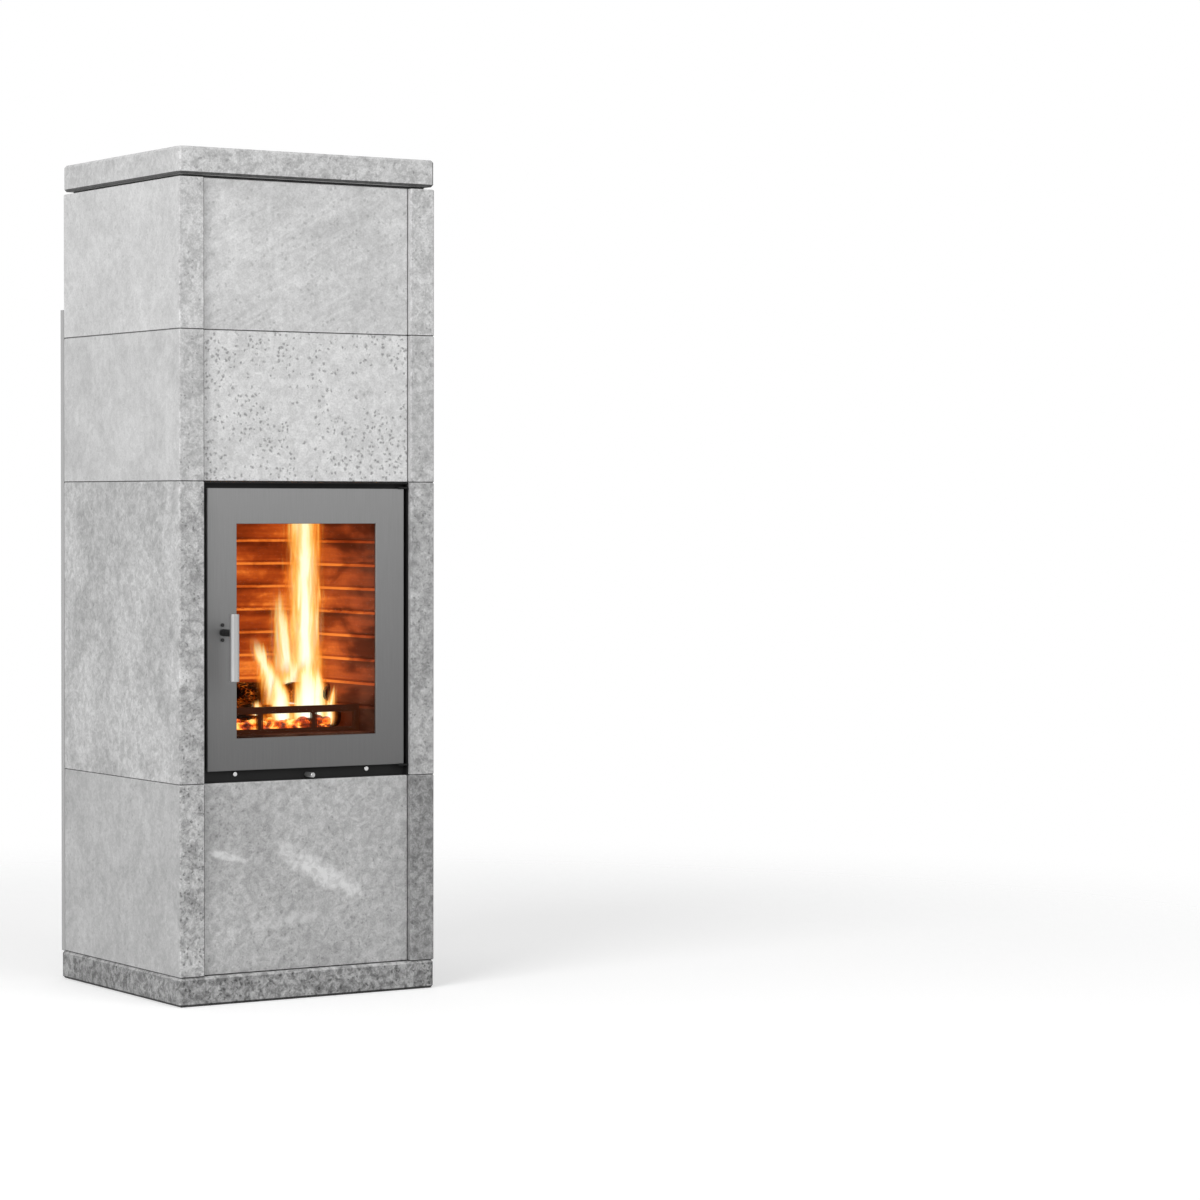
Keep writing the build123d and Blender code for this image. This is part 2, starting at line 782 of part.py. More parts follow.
# Handle: upright bar, neck with its spindle, bush in the leaf and latch cam behind it
y_bar = y_leaf - bar_reach
y_neck = y_leaf - plate_head_height
bar = rod_z(handle_x, y_bar, bar_radius, handle_height - bar_below, handle_height + bar_above)
bar = fillet(bar.edges(), bar_edge)
y_tip = y_bar + bar_radius - neck_tip_depth
parts["handle_bar"] = bar - rod_y(handle_x, handle_height, neck_tip_radius, y_tip, y_leaf)
y_cam = y_frame_back + cam_offset
y_spindle_back = y_cam + cam_thickness
neck = rod_y(handle_x, handle_height, neck_radius, y_bar, y_neck)
neck -= rod_z(handle_x, y_bar, bar_radius, handle_height - bar_below, handle_height + bar_above)
for i in (1, 2):
    y = y_neck - i * neck_groove_pitch
    neck -= rod_y(
        handle_x, handle_height, neck_radius + past, y, y + neck_groove_width
    ) - bore_y(handle_x, handle_height, neck_radius - neck_groove_depth, y, y + neck_groove_width)
neck += rod_y(handle_x, handle_height, neck_tip_radius, y_tip, y_neck)
neck += rod_y(handle_x, handle_height, spindle_radius, y_neck, y_spindle_back)
parts["handle_neck"] = neck
parts["handle_bush"] = rod_y(
    handle_x, handle_height, spindle_radius + bush_wall, y_plate_back, y_plate_back + bush_length
) - bore_y(handle_x, handle_height, spindle_radius + spindle_fit, y_plate_back, y_plate_back + bush_length)
cam_tip = handle_height + cam_reach - cam_width / 2
cam = rod_y(handle_x, handle_height, spindle_radius + cam_wall, y_cam, y_spindle_back)
cam += rod_y(handle_x, cam_tip, cam_width / 2, y_cam, y_spindle_back)
cam += span(
    (handle_x - cam_width / 2, handle_x + cam_width / 2),
    (y_cam, y_spindle_back),
    (handle_height, cam_tip),
)
cam -= bore_y(handle_x, handle_height, spindle_radius, y_cam, y_spindle_back)
parts["latch_cam"] = cam

# Air control: a rod through the bottom strip that pulls the valve plate over the hearth slots
z_valve = z_door + valve_clearance
valve = span(
    (air_rod_shift - valve_width / 2, air_rod_shift + valve_width / 2),
    (y_valve_front, y_valve_front + valve_length),
    (z_valve, z_valve + valve_thickness),
)
for slot in air_slots((z_valve - past, z_valve + valve_thickness + past)):
    valve -= slot
y_rod = y_frame - air_rod_reach
y_rod_back = y_valve_front + valve_margin
control = rod_y(air_rod_shift, z_rod, air_rod_radius, y_rod, y_rod_back)
control = chamfer(control.edges().group_by(Axis.Y)[0], air_rod_edge)
control += span(
    (air_rod_shift - air_rod_radius, air_rod_shift + air_rod_radius),
    (y_valve_front, y_rod_back),
    (z_valve + valve_thickness, z_rod),
)
parts["air_rod"] = control
parts["air_valve"] = valve

# Log guard that stands in two sockets in front of the fire
z_foot = z_floor + guard_clearance
z_rail = z_floor + guard_top_rise
guard = span((-guard_half, guard_half), guard_y, (z_rail - guard_rail, z_rail))
guard += span((-guard_half, guard_half), guard_y, (z_foot, z_foot + guard_foot_rail))
for side in (-1, 1):
    for x, low in ((side * guard_foot_x, z_floor - socket_depth), (side * guard_inner_spacing / 2, z_foot)):
        guard += span((x - guard_post_width / 2, x + guard_post_width / 2), guard_y, (low, z_rail))
parts["log_guard"] = guard

# Firewood: two logs across the grate and one crossing them
y_front_log = guard_y[1] + log_front_gap + log_radius
z_log = z_floor + log_radius + log_clearance
log_length = 2 * (fire_x - log_shift - log_side_gap)
top_log_length = log_length - 2 * top_log_gap
logs = []
for y in (y_front_log, y_front_log + log_spread):
    logs.append(Pos(log_shift, y, z_log) * Rot(0, 90, 0) * Cylinder(log_radius, log_length))
z_top_log = z_floor + 2 * log_radius + top_log_radius + 2 * log_clearance
logs.append(
    Pos(log_shift, y_front_log + log_spread / 2, z_top_log)
    * Rot(0, 0, top_log_turn)
    * Rot(0, 90, 0)
    * Cylinder(top_log_radius, top_log_length)
)
parts["firewood"] = Compound(children=logs)

os.makedirs("parts", exist_ok=True)
for node, shape in parts.items():
    export_step(shape, f"parts/{node}.step")
print(len(parts), "nodes written")
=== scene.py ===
# %% [markdown]
# # A tall soapstone stove with its fire lit
#
# The stove is a stack of sawn soapstone blocks round a steel fire door. The solid model already holds
# every rigid piece, so this script gives each one its finish and adds what a solid can't hold well:
# charred wood, embers and flames. Everything is in metres, with +Z up and the front towards -Y.

# %% Load the solid model
import math
import random

import bmesh
import bpy
from mathutils import Matrix, Vector, noise


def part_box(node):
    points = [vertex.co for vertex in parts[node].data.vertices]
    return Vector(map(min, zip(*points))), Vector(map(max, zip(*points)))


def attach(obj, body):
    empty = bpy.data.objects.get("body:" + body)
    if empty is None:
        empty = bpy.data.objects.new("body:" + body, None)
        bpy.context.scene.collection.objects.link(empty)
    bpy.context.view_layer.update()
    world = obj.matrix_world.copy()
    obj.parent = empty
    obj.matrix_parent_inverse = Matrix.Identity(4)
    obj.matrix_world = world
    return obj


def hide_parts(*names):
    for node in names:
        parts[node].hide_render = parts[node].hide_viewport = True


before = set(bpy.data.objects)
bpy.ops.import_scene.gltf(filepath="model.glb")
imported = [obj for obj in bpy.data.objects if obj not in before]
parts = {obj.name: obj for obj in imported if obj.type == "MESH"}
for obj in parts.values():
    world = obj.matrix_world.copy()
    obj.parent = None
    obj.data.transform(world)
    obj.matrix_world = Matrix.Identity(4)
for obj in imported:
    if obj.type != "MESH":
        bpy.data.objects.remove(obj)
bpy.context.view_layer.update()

# %% [markdown]
# ## The camera
#
# The view is from the front left, a little above the middle of the stove, with a long lens. A long lens
# keeps the stone's upright edges parallel. The place and the three angles below come from matching the
# corners and joints of the stone courses, and the camera's matrix is built straight from them, so that no
# tracking constraint is needed.

# %% Place the camera
CAMERA_PLACE = Vector((-3.530, -6.7955, 0.996))
CAMERA_YAW = math.radians(32.96)
CAMERA_PITCH = math.radians(1.491)
CAMERA_ROLL = math.radians(0.104)
CAMERA_LENS = 110.2
SENSOR_WIDTH = 36.0


def camera_matrix(place, yaw, pitch, roll):
    """The camera's matrix: yaw turns from +Y towards +X, pitch looks down and roll leans to the right."""
    forward = Vector((math.sin(yaw) * math.cos(pitch), math.cos(yaw) * math.cos(pitch), -math.sin(pitch)))
    level = Vector((math.cos(yaw), -math.sin(yaw), 0.0))
    upright = level.cross(forward)
    right = level * math.cos(roll) + upright * math.sin(roll)
    up = right.cross(forward)
    turn = Matrix((right, up, -forward)).transposed().to_4x4()
    return Matrix.Translation(place) @ turn


camera_data = bpy.data.cameras.new("camera")
camera_data.lens = CAMERA_LENS
camera_data.sensor_width = SENSOR_WIDTH
camera = bpy.data.objects.new("camera", camera_data)
camera.matrix_world = camera_matrix(CAMERA_PLACE, CAMERA_YAW, CAMERA_PITCH, CAMERA_ROLL)
bpy.context.collection.objects.link(camera)
bpy.context.scene.camera = camera
bpy.context.scene.view_settings.view_transform = "Standard"

# %% [markdown]
# ## Small helpers for shader nodes
#
# A procedural material is a graph of small sums. Wiring it by hand in Python takes many lines, so each of
# these helpers adds a node or a few and returns the output socket. A material then reads like a formula.


# %% Define the node helpers
def put(tree, value, socket):
    """Gives a socket a link, if value is another socket, or else a plain value."""
    if isinstance(value, bpy.types.NodeSocket):
        tree.links.new(value, socket)
    else:
        socket.default_value = value


def add(tree, kind, **inputs):
    """Adds a node and fills its named inputs. An underscore in a name stands for a space."""
    made = tree.nodes.new(kind)
    for name, value in inputs.items():
        put(tree, value, made.inputs[name.replace("_", " ")])
    return made


def calc(tree, operation, *values, clamp=False):
    """One math node, such as calc(tree, "MULTIPLY", a, b)."""
    made = tree.nodes.new("ShaderNodeMath")
    made.operation = operation
    made.use_clamp = clamp
    for value, socket in zip(values, made.inputs):
        put(tree, value, socket)
    return made.outputs[0]


def spread(tree, value, low, high, to_low=0.0, to_high=1.0, smooth=True):
    """Maps value from low..high to to_low..to_high, held at the ends."""
    made = tree.nodes.new("ShaderNodeMapRange")
    made.interpolation_type = "SMOOTHSTEP" if smooth else "LINEAR"
    for socket, number in zip(made.inputs, (value, low, high, to_low, to_high)):
        put(tree, number, socket)
    return made.outputs[0]


def mixed(tree, factor, first, second):
    """A colour between first and second."""
    made = tree.nodes.new("ShaderNodeMix")
    made.data_type = "RGBA"
    for index, value in ((0, factor), (6, first), (7, second)):
        put(tree, value, made.inputs[index])
    return made.outputs[2]


def vector_calc(tree, operation, *values):
    """One vector math node. LENGTH and DISTANCE give a number, and the rest give a vector."""
    made = tree.nodes.new("ShaderNodeVectorMath")
    made.operation = operation
    for value, socket in zip(values, made.inputs):
        put(tree, value, socket)
    return made.outputs["Value" if operation in ("LENGTH", "DISTANCE") else "Vector"]


def own_place(tree):
    """Where a point is in the stove's own space, in metres."""
    return add(tree, "ShaderNodeTexCoord").outputs["Object"]


def own_normal(tree):
    """Which way a face points in the stove's own space."""
    return add(tree, "ShaderNodeTexCoord").outputs["Normal"]


def axis_of(tree, vector, axis):
    """One number of a vector: axis 0, 1 or 2 for X, Y or Z."""
    return add(tree, "ShaderNodeSeparateXYZ", Vector=vector).outputs[axis]


def cloud(tree, vector, scale, detail=2.0, roughness=0.5, distortion=0.0):
    """A noise value around 0.5."""
    made = add(tree, "ShaderNodeTexNoise", Vector=vector, Scale=scale, Detail=detail, Roughness=roughness)
    made.inputs["Distortion"].default_value = distortion
    return made.outputs[0]


def stretched(tree, vector, sizes, turn=(0.0, 0.0, 0.0), middle=(0.0, 0.0, 0.0)):
    """The place as seen from a middle, in a turned frame whose units are the given sizes in metres."""
    made = add(tree, "ShaderNodeMapping", Vector=vector, Location=middle, Rotation=turn, Scale=sizes)
    made.vector_type = "TEXTURE"
    return made.outputs[0]


def ramp(tree, value, stops):
    """A colour ramp. stops is a list of (place, (red, green, blue))."""
    made = tree.nodes.new("ShaderNodeValToRGB")
    put(tree, value, made.inputs[0])
    marks = made.color_ramp.elements
    while len(marks) < len(stops):
        marks.new(0.5)
    for mark, (place, colour) in zip(marks, stops):
        mark.position = place
        mark.color = (*colour, 1.0)
    return made.outputs[0]


def grey(value):
    """A neutral colour."""
    return (value, value, value, 1.0)


def grey_of(tree, value):
    """A neutral colour from another node's value."""
    made = tree.nodes.new("ShaderNodeCombineColor")
    for socket in made.inputs:
        put(tree, value, socket)
    return made.outputs[0]


def swing(tree, value, size):
    """A share that swings round 1 with a noise value round 0.5."""
    moved = calc(tree, "MULTIPLY", calc(tree, "SUBTRACT", value, 0.5), size)
    return calc(tree, "ADD", 1.0, moved)


def product(tree, values):
    """All the values multiplied together."""
    result, *others = values
    for value in others:
        result = calc(tree, "MULTIPLY", result, value)
    return result


def drawn_towards(tree, value, goal, amount):
    """The value, moved by an amount from 0 to 1 towards the goal."""
    return calc(tree, "ADD", value, calc(tree, "MULTIPLY", amount, calc(tree, "SUBTRACT", goal, value)))


def new_group(name, inputs, outputs):
    """A shader node group. inputs maps a name to (kind, default) and outputs maps a name to a kind."""
    tree = bpy.data.node_groups.new(name, "ShaderNodeTree")
    for label, (kind, default) in inputs.items():
        socket = tree.interface.new_socket(label, in_out="INPUT", socket_type=kind)
        socket.default_value = default
    for label, kind in outputs.items():
        tree.interface.new_socket(label, in_out="OUTPUT", socket_type=kind)
    return tree, tree.nodes.new("NodeGroupInput").outputs, tree.nodes.new("NodeGroupOutput").inputs


def use_group(tree, group, **inputs):
    """Places a group in a material and returns its outputs."""
    made = tree.nodes.new("ShaderNodeGroup")
    made.node_tree = group
    for name, value in inputs.items():
        put(tree, value, made.inputs[name.replace("_", " ")])
    return made.outputs


def new_material(name, **settings):
    """An empty material with one Principled BSDF. settings are plain values for the shader's own sockets."""
    material = bpy.data.materials.new(name)
    material.use_nodes = True
    tree = material.node_tree
    tree.nodes.clear()
    shader = tree.nodes.new("ShaderNodeBsdfPrincipled")
    output = tree.nodes.new("ShaderNodeOutputMaterial")
    tree.links.new(shader.outputs[0], output.inputs["Surface"])
    for label, value in settings.items():
        shader.inputs[label.replace("_", " ")].default_value = value
    return material, tree, shader


def bumped(tree, shader, height, distance, strength=1.0):
    """Feeds the shader's normal from a height."""
    made = add(tree, "ShaderNodeBump", Height=height, Distance=distance, Strength=strength)
    tree.links.new(made.outputs[0], shader.inputs["Normal"])


def finish_part(name, material):
    """Gives a part of the solid model one material."""
    slots = parts[name].data.materials
    slots.clear()
    slots.append(material)


FLOAT = "NodeSocketFloat"
COLOUR = "NodeSocketColor"
VECTOR = "NodeSocketVector"

# %% [markdown]
# ## Two groups that several finishes share
#
# Every sawn stone has its sharp edges taken off, and those small slanted faces are painted with light and
# shade: the upper ones get a painted highlight, and those in a joint that look down or to the right get
# painted shade. A flat face points along X, Y or Z, so how far a normal is from all three says where an
# edge is. That works from any side, with no baking.
#
# Metal is marked by handling. A stretched, fine noise gives the brushing and a broad one gives the
# smudges.


# %% Build the arris and brushing groups
FLAT_FROM = 0.985
SLANTED_FROM = 0.88
TILTED = (0.2, 0.5)
TILTED_DOWN = (-0.2, -0.5)
BRUSH_SIZE = (0.0014, 0.0014, 0.09)
SMUDGE_SCALE = 9.0


def arris_group():
    """Masks for slanted faces: Pale is a painted highlight on those that look up, Shade is painted shade on
    those that look down or to the right.
    """
    tree, inputs, outputs = new_group("arris", {"Grain": (FLOAT, 0.5)}, {"Pale": FLOAT, "Shade": FLOAT})
    axes = add(tree, "ShaderNodeSeparateXYZ", Vector=own_normal(tree)).outputs
    sizes = [calc(tree, "ABSOLUTE", axis) for axis in axes]
    widest = calc(tree, "MAXIMUM", calc(tree, "MAXIMUM", sizes[0], sizes[1]), sizes[2])
    slanted = spread(tree, widest, FLAT_FROM, SLANTED_FROM)
    # The Shade mask is painted shade on edge faces that look down or to the right, and the pale mask below
    # is a painted highlight on those that look up.
    shaded = calc(tree, "MAXIMUM", spread(tree, axes[2], *TILTED_DOWN), spread(tree, axes[0], *TILTED))
    grain = spread(tree, inputs["Grain"], 0.2, 0.7, 0.5, 1.0)
    pale = product(tree, (slanted, spread(tree, axes[2], *TILTED), grain))
    tree.links.new(pale, outputs["Pale"])
    tree.links.new(calc(tree, "MULTIPLY", slanted, shaded), outputs["Shade"])
    return tree


def brushing_group():
    """Brushed upright lines, with broad smudges."""
    tree, _, outputs = new_group("brushing", {}, {"Lines": FLOAT, "Smudge": FLOAT})
    place = own_place(tree)
    lines = cloud(tree, stretched(tree, place, BRUSH_SIZE), 1.0, 3.0, 0.6)
    smudge = cloud(tree, place, SMUDGE_SCALE, 3.0, 0.55, 0.6)
    tree.links.new(lines, outputs["Lines"])
    tree.links.new(smudge, outputs["Smudge"])
    return tree


ARRIS = arris_group()
BRUSHING = brushing_group()

# %% [markdown]
# ## Soapstone
#
# Soapstone is a soft grey rock of talc and carbonate. Honed, it shows pale clouds, fine mottling, dark
# flecks that come in clusters, and here and there a pale vein. One picture of stone on every block would
# repeat, and would show the same fleck twice. A group of noises in the stove's own space, moved by a seed
# for each block, gives every block its own face and lets the pattern break at the joints, as it does
# between real blocks.


# %% Build the soapstone group
# The first two set the painted highlight on upward edge faces, and the third sets the painted shade on edge
# faces in a joint.
EDGE_HIGHLIGHT_TONE = 0.78
EDGE_HIGHLIGHT = 0.35
EDGE_SHADE = 0.85
VEIN_TONE = 0.66
FLECK_SIZE = 0.0085
CLOUD_SCALE = 7.0
CLUSTER_SCALE = 11.0
MOTTLE_SCALE = 58.0
WOBBLE_SCALE = 150.0
GRAIN_SCALE = 260.0
STREAK_SIZE = (0.20, 0.05, 0.035)
STREAK_TURN = (0.0, -0.50, 0.0)
SAW_SIZE = (0.012, 0.012, 0.45)
# The first two make faces that look along Y coarser, and the third darkens them a little as painted shade.
COARSE_FLECKS = 0.25
COARSE_MOTTLE = 0.35
FRONT_PAINTED_SHADE = 0.88


def soapstone_group():
    """Honed soapstone. Tone is the ground's grey, and of each of the rest 1 is a strong amount."""
    tree, inputs, outputs = new_group(
        "soapstone",
        {
            "Move": (VECTOR, (0.0, 0.0, 0.0)),
            "Tone": (FLOAT, 0.6),
            "Clouds": (FLOAT, 0.5),
            "Mottle": (FLOAT, 0.5),
            "Flecks": (FLOAT, 0.5),
            "Cluster": (FLOAT, 0.5),
            "Streaks": (FLOAT, 0.3),
            "Saw lines": (FLOAT, 0.1),
            "Front coarse": (FLOAT, 0.5),
            "Vein": (FLOAT, 0.0),
        },
        {"Colour": COLOUR, "Height": FLOAT, "Rough": FLOAT},
    )
    place = vector_calc(tree, "ADD", own_place(tree), inputs["Move"])
    facing = calc(tree, "ABSOLUTE", axis_of(tree, own_normal(tree), 1))
    # This mask picks faces that look along Y: it gives them real coarser flecks and mottle, and painted
    # shade on their tone.
    front_coarse_and_shade = calc(tree, "MULTIPLY", spread(tree, facing, 0.3, 0.7), inputs["Front coarse"])

    clouds = spread(tree, cloud(tree, place, CLOUD_SCALE, 4.0, 0.6, 0.9), 0.30, 0.70)
    mottle = spread(tree, cloud(tree, place, MOTTLE_SCALE, 4.0, 0.72, 0.6), 0.32, 0.68)
    grain = cloud(tree, place, GRAIN_SCALE, 2.0, 0.65)
    streaks = cloud(tree, stretched(tree, place, STREAK_SIZE, STREAK_TURN), 1.0, 5.0, 0.7, 1.4)
    streaks = spread(tree, streaks, 0.30, 0.70)
    saw = cloud(tree, stretched(tree, place, SAW_SIZE), 1.0, 3.0, 0.6)
    cluster = cloud(tree, place, CLUSTER_SCALE, 3.0, 0.55, 0.5)

    # Each fleck is a cell of a Voronoi pattern whose place is pushed about, and a cell's colour is its lot.
    wobble = add(tree, "ShaderNodeTexNoise", Vector=place, Scale=WOBBLE_SCALE, Detail=1.0).outputs["Color"]
    bent = vector_calc(tree, "MULTIPLY_ADD", wobble, (FLECK_SIZE, FLECK_SIZE, FLECK_SIZE), place)
    cells = add(tree, "ShaderNodeTexVoronoi", Vector=bent, Scale=1.0 / FLECK_SIZE)
    lots = add(tree, "ShaderNodeSeparateColor", Color=cells.outputs["Color"]).outputs
    dot = spread(tree, cells.outputs["Distance"], spread(tree, lots[1], 0.0, 1.0, 0.30, 0.62), 0.12)
    more = calc(tree, "MULTIPLY", front_coarse_and_shade, COARSE_FLECKS)
    reach = calc(tree, "ADD", inputs["Cluster"], more)
    crowd = calc(tree, "MULTIPLY", spread(tree, cluster, 0.36, 0.60, 0.15, 1.0), reach)
    kept = spread(tree, calc(tree, "SUBTRACT", crowd, lots[0]), 0.0, 0.08)
    amount = calc(tree, "ADD", inputs["Flecks"], more)
    flecks = calc(tree, "MULTIPLY", calc(tree, "MULTIPLY", dot, kept), amount, clamp=True)

    mottling = calc(tree, "ADD", inputs["Mottle"], calc(tree, "MULTIPLY", front_coarse_and_shade, COARSE_MOTTLE))
    graining = calc(tree, "ADD", 0.35, calc(tree, "MULTIPLY", mottling, 0.9))
    shares = (
        # Faces that look along Y are painted darker here: painted shade.
        spread(tree, front_coarse_and_shade, 0.0, 1.0, 1.0, FRONT_PAINTED_SHADE),
        swing(tree, clouds, inputs["Clouds"]),
        swing(tree, mottle, mottling),
        swing(tree, streaks, inputs["Streaks"]),
        swing(tree, saw, inputs["Saw lines"]),
        swing(tree, grain, graining),
        calc(tree, "SUBTRACT", 1.0, flecks),
    )
    tone = product(tree, (inputs["Tone"], *shares))
    vein = calc(tree, "MULTIPLY", inputs["Vein"], spread(tree, mottle, 0.0, 0.8, 0.55, 1.0))
    tone = drawn_towards(tree, tone, VEIN_TONE, vein)

    edges = use_group(tree, ARRIS, Grain=mottle)
    # Painted highlight on the upper edge faces, then painted shade on the edge faces in the joints.
    tone = drawn_towards(tree, tone, EDGE_HIGHLIGHT_TONE, calc(tree, "MULTIPLY", edges["Pale"], EDGE_HIGHLIGHT))
    shade = calc(tree, "SUBTRACT", 1.0, calc(tree, "MULTIPLY", edges["Shade"], EDGE_SHADE))
    tone = calc(tree, "MULTIPLY", tone, shade, clamp=True)
    height = calc(tree, "SUBTRACT", calc(tree, "MULTIPLY", mottle, 0.4), calc(tree, "MULTIPLY", flecks, 0.5))
    height = calc(tree, "ADD", height, calc(tree, "MULTIPLY", grain, 0.25))
    tree.links.new(grey_of(tree, tone), outputs["Colour"])
    tree.links.new(height, outputs["Height"])
    tree.links.new(spread(tree, mottle, 0.2, 0.8, 0.66, 0.52), outputs["Rough"])
    return tree


SOAPSTONE = soapstone_group()
VEIN_SCALE = 34.0
VEIN_DEPTH = 10.0
VEIN_RAGGEDNESS = 2.2
VEIN_EDGE = (1.35, 0.55)
SEED_REACH = 9.0
STONE_BUMP = 0.0005


def vein_mask(tree, veins):
    """A mask of ragged pale patches, each (x, z, half length, half width, turn in degrees, strength)."""
    place = own_place(tree)
    ragged = calc(tree, "SUBTRACT", cloud(tree, place, VEIN_SCALE, 4.0, 0.65, 0.6), 0.5)
    ragged = calc(tree, "MULTIPLY", ragged, VEIN_RAGGEDNESS)
    mask = 0.0
    for x, z, half_length, half_width, turn, strength in veins:
        sizes = (half_length, VEIN_DEPTH, half_width)
        seen = stretched(tree, place, sizes, (0.0, math.radians(-turn), 0.0), (x, 0.0, z))
        edge = calc(tree, "ADD", vector_calc(tree, "LENGTH", seen), ragged)
        mask = calc(tree, "MAXIMUM", mask, spread(tree, edge, *VEIN_EDGE, 0.0, strength))
    return mask


def soapstone(name, seed, veins=(), **amounts):
    """A soapstone material for one block, with its own seed."""
    material, tree, shader = new_material(name)
    chance = random.Random(seed)
    move = [chance.uniform(-SEED_REACH, SEED_REACH) for _ in range(3)]
    stone = use_group(tree, SOAPSTONE, Move=move, Vein=vein_mask(tree, veins), **amounts)
    tree.links.new(stone["Colour"], shader.inputs["Base Color"])
    tree.links.new(stone["Rough"], shader.inputs["Roughness"])
    bumped(tree, shader, stone["Height"], STONE_BUMP, 0.5)
    return material


# %% [markdown]
# ## One face for every block
#
# The blocks differ: the top courses are pale, the third course's front panel is full of dark flecks, the
# bottom course is a darker, mottled grey, and the base slab is darkest and coarsest, so the stone grows
# darker towards the bottom. The table below holds those differences as amounts, and a seed each keeps the
# faces apart.

# %% Dress the stones
PALE = {"Tone": 0.56, "Clouds": 0.13, "Mottle": 0.15, "Flecks": 0.16, "Cluster": 0.20, "Streaks": 0.05,
        "Saw_lines": 0.10, "Front_coarse": 0.80}
LOWER_VEINS = (
    # x, z, half length and half width in metres, turn in degrees, strength
    (0.039, 0.246, 0.098, 0.019, -27.0, 1.0),
    (0.010, 0.262, 0.050, 0.022, -30.0, 0.85),
    (-0.045, 0.292, 0.035, 0.018, -40.0, 0.55),
    (-0.175, 0.292, 0.045, 0.008, -14.0, 0.80),
    (-0.053, 0.158, 0.085, 0.014, 6.0, 0.35),
)
stone_faces = {
    "front_stone_upper": PALE | {"Clouds": 0.14, "Streaks": 0.20, "Flecks": 0.22, "Cluster": 0.30,
                                 "Front_coarse": 0.10},
    "front_stone_middle": PALE | {"Tone": 0.62, "Flecks": 0.52, "Cluster": 0.88, "Mottle": 0.22,
                                  "Streaks": 0.06, "Front_coarse": 0.05},
    "front_stone_lower": PALE | {"Tone": 0.41, "Clouds": 0.22, "Mottle": 0.34, "Flecks": 0.26,
                                 "Cluster": 0.40, "Streaks": 0.14, "Front_coarse": 0.10,
                                 "veins": LOWER_VEINS},
    "top_slab": PALE | {"Tone": 0.53, "Mottle": 0.24, "Front_coarse": 0.70},
    "base_slab": PALE | {"Tone": 0.26, "Mottle": 1.0, "Flecks": 0.60, "Cluster": 0.8, "Clouds": 0.2,
                         "Front_coarse": 0.20},
}
side_stones = {
    1: {"Tone": 0.44, "Saw_lines": 0.12, "Mottle": 0.18, "Clouds": 0.22},
    2: {"Tone": 0.46, "Saw_lines": 0.10, "Mottle": 0.34, "Clouds": 0.32, "Flecks": 0.24, "Cluster": 0.40},
    3: {"Tone": 0.53, "Clouds": 0.18},
    4: {"Tone": 0.58},
}
for course, amounts in side_stones.items():
    for place in ("side_stone_left", "side_stone_right", "back_stone"):
        stone_faces[f"{place}_{course}"] = PALE | amounts
stone_faces["side_stone_right_1"] |= {"Tone": 0.27, "Mottle": 0.5}
# A stronger amount here darkens this block's front face further as painted shade, and adds flecks.
stone_faces["side_stone_left_1"] |= {"Front_coarse": 1.6}
stone_faces["side_stone_right_2"] |= {"Tone": 0.41}
FIRST_STONE_SEED = 11
for seed, (name, amounts) in enumerate(stone_faces.items(), FIRST_STONE_SEED):
    finish_part(name, soapstone(f"{name}_stone", seed, **amounts))
print("stones dressed:", len(stone_faces))

# %% [markdown]
# ## Steel and iron
#
# The door leaf is satin grey steel, brushed upright. The frame behind it is painted matt black and the
# sheet at the back grey, and such heat-proof paint has a very fine orange peel. The handle is ground
# stainless bar. Cast iron is darker and rougher, with the grain of the sand that it was cast in. They
# share one function, since they differ only in tone, shine and grain.


# %% Dress the metal
METAL_BUMP = 0.0002
PEEL_SCALE = 700.0
GLOSS_SWING = 0.15


def metal(name, tone, metallic, roughness, line_tone=0.0, smudge=0.0, peel=0.0, shine=0.5, painted_shade=None,
          glow=None):
    """A metal finish: brushed lines and smudges over a tone, with a fine peel or sand grain as bump.

    The fade, when given, is (low z, high z, share at the low end, share at the high end) of the tone:
    painted shade that grades the tone with height. The glow, when given, is painted firelight: the dull
    light of the fire on iron beside it, as an emission.
    """
    material, tree, shader = new_material(name, Metallic=metallic, Specular_IOR_Level=shine)
    # This emission is painted firelight.
    if glow:
        shader.inputs["Emission Color"].default_value = (*glow, 1.0)
        shader.inputs["Emission Strength"].default_value = 1.0
    marks = use_group(tree, BRUSHING)
    place = own_place(tree)
    shares = [swing(tree, marks["Lines"], line_tone), swing(tree, marks["Smudge"], smudge), tone]
    # The tone's grading with height is painted shade.
    if painted_shade:
        shares.append(spread(tree, axis_of(tree, place, 2), *painted_shade, smooth=False))
    tree.links.new(grey_of(tree, product(tree, shares)), shader.inputs["Base Color"])
    gloss = [roughness * (1.0 + side * GLOSS_SWING) for side in (-1.0, 1.0)]
    tree.links.new(spread(tree, marks["Smudge"], 0.3, 0.7, *gloss), shader.inputs["Roughness"])
    grain = calc(tree, "MULTIPLY", cloud(tree, place, PEEL_SCALE), peel)
    height = calc(tree, "ADD", grain, calc(tree, "MULTIPLY", marks["Lines"], line_tone))
    bumped(tree, shader, height, METAL_BUMP, 0.5)
    return material


leaf_low, leaf_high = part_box("door_leaf")
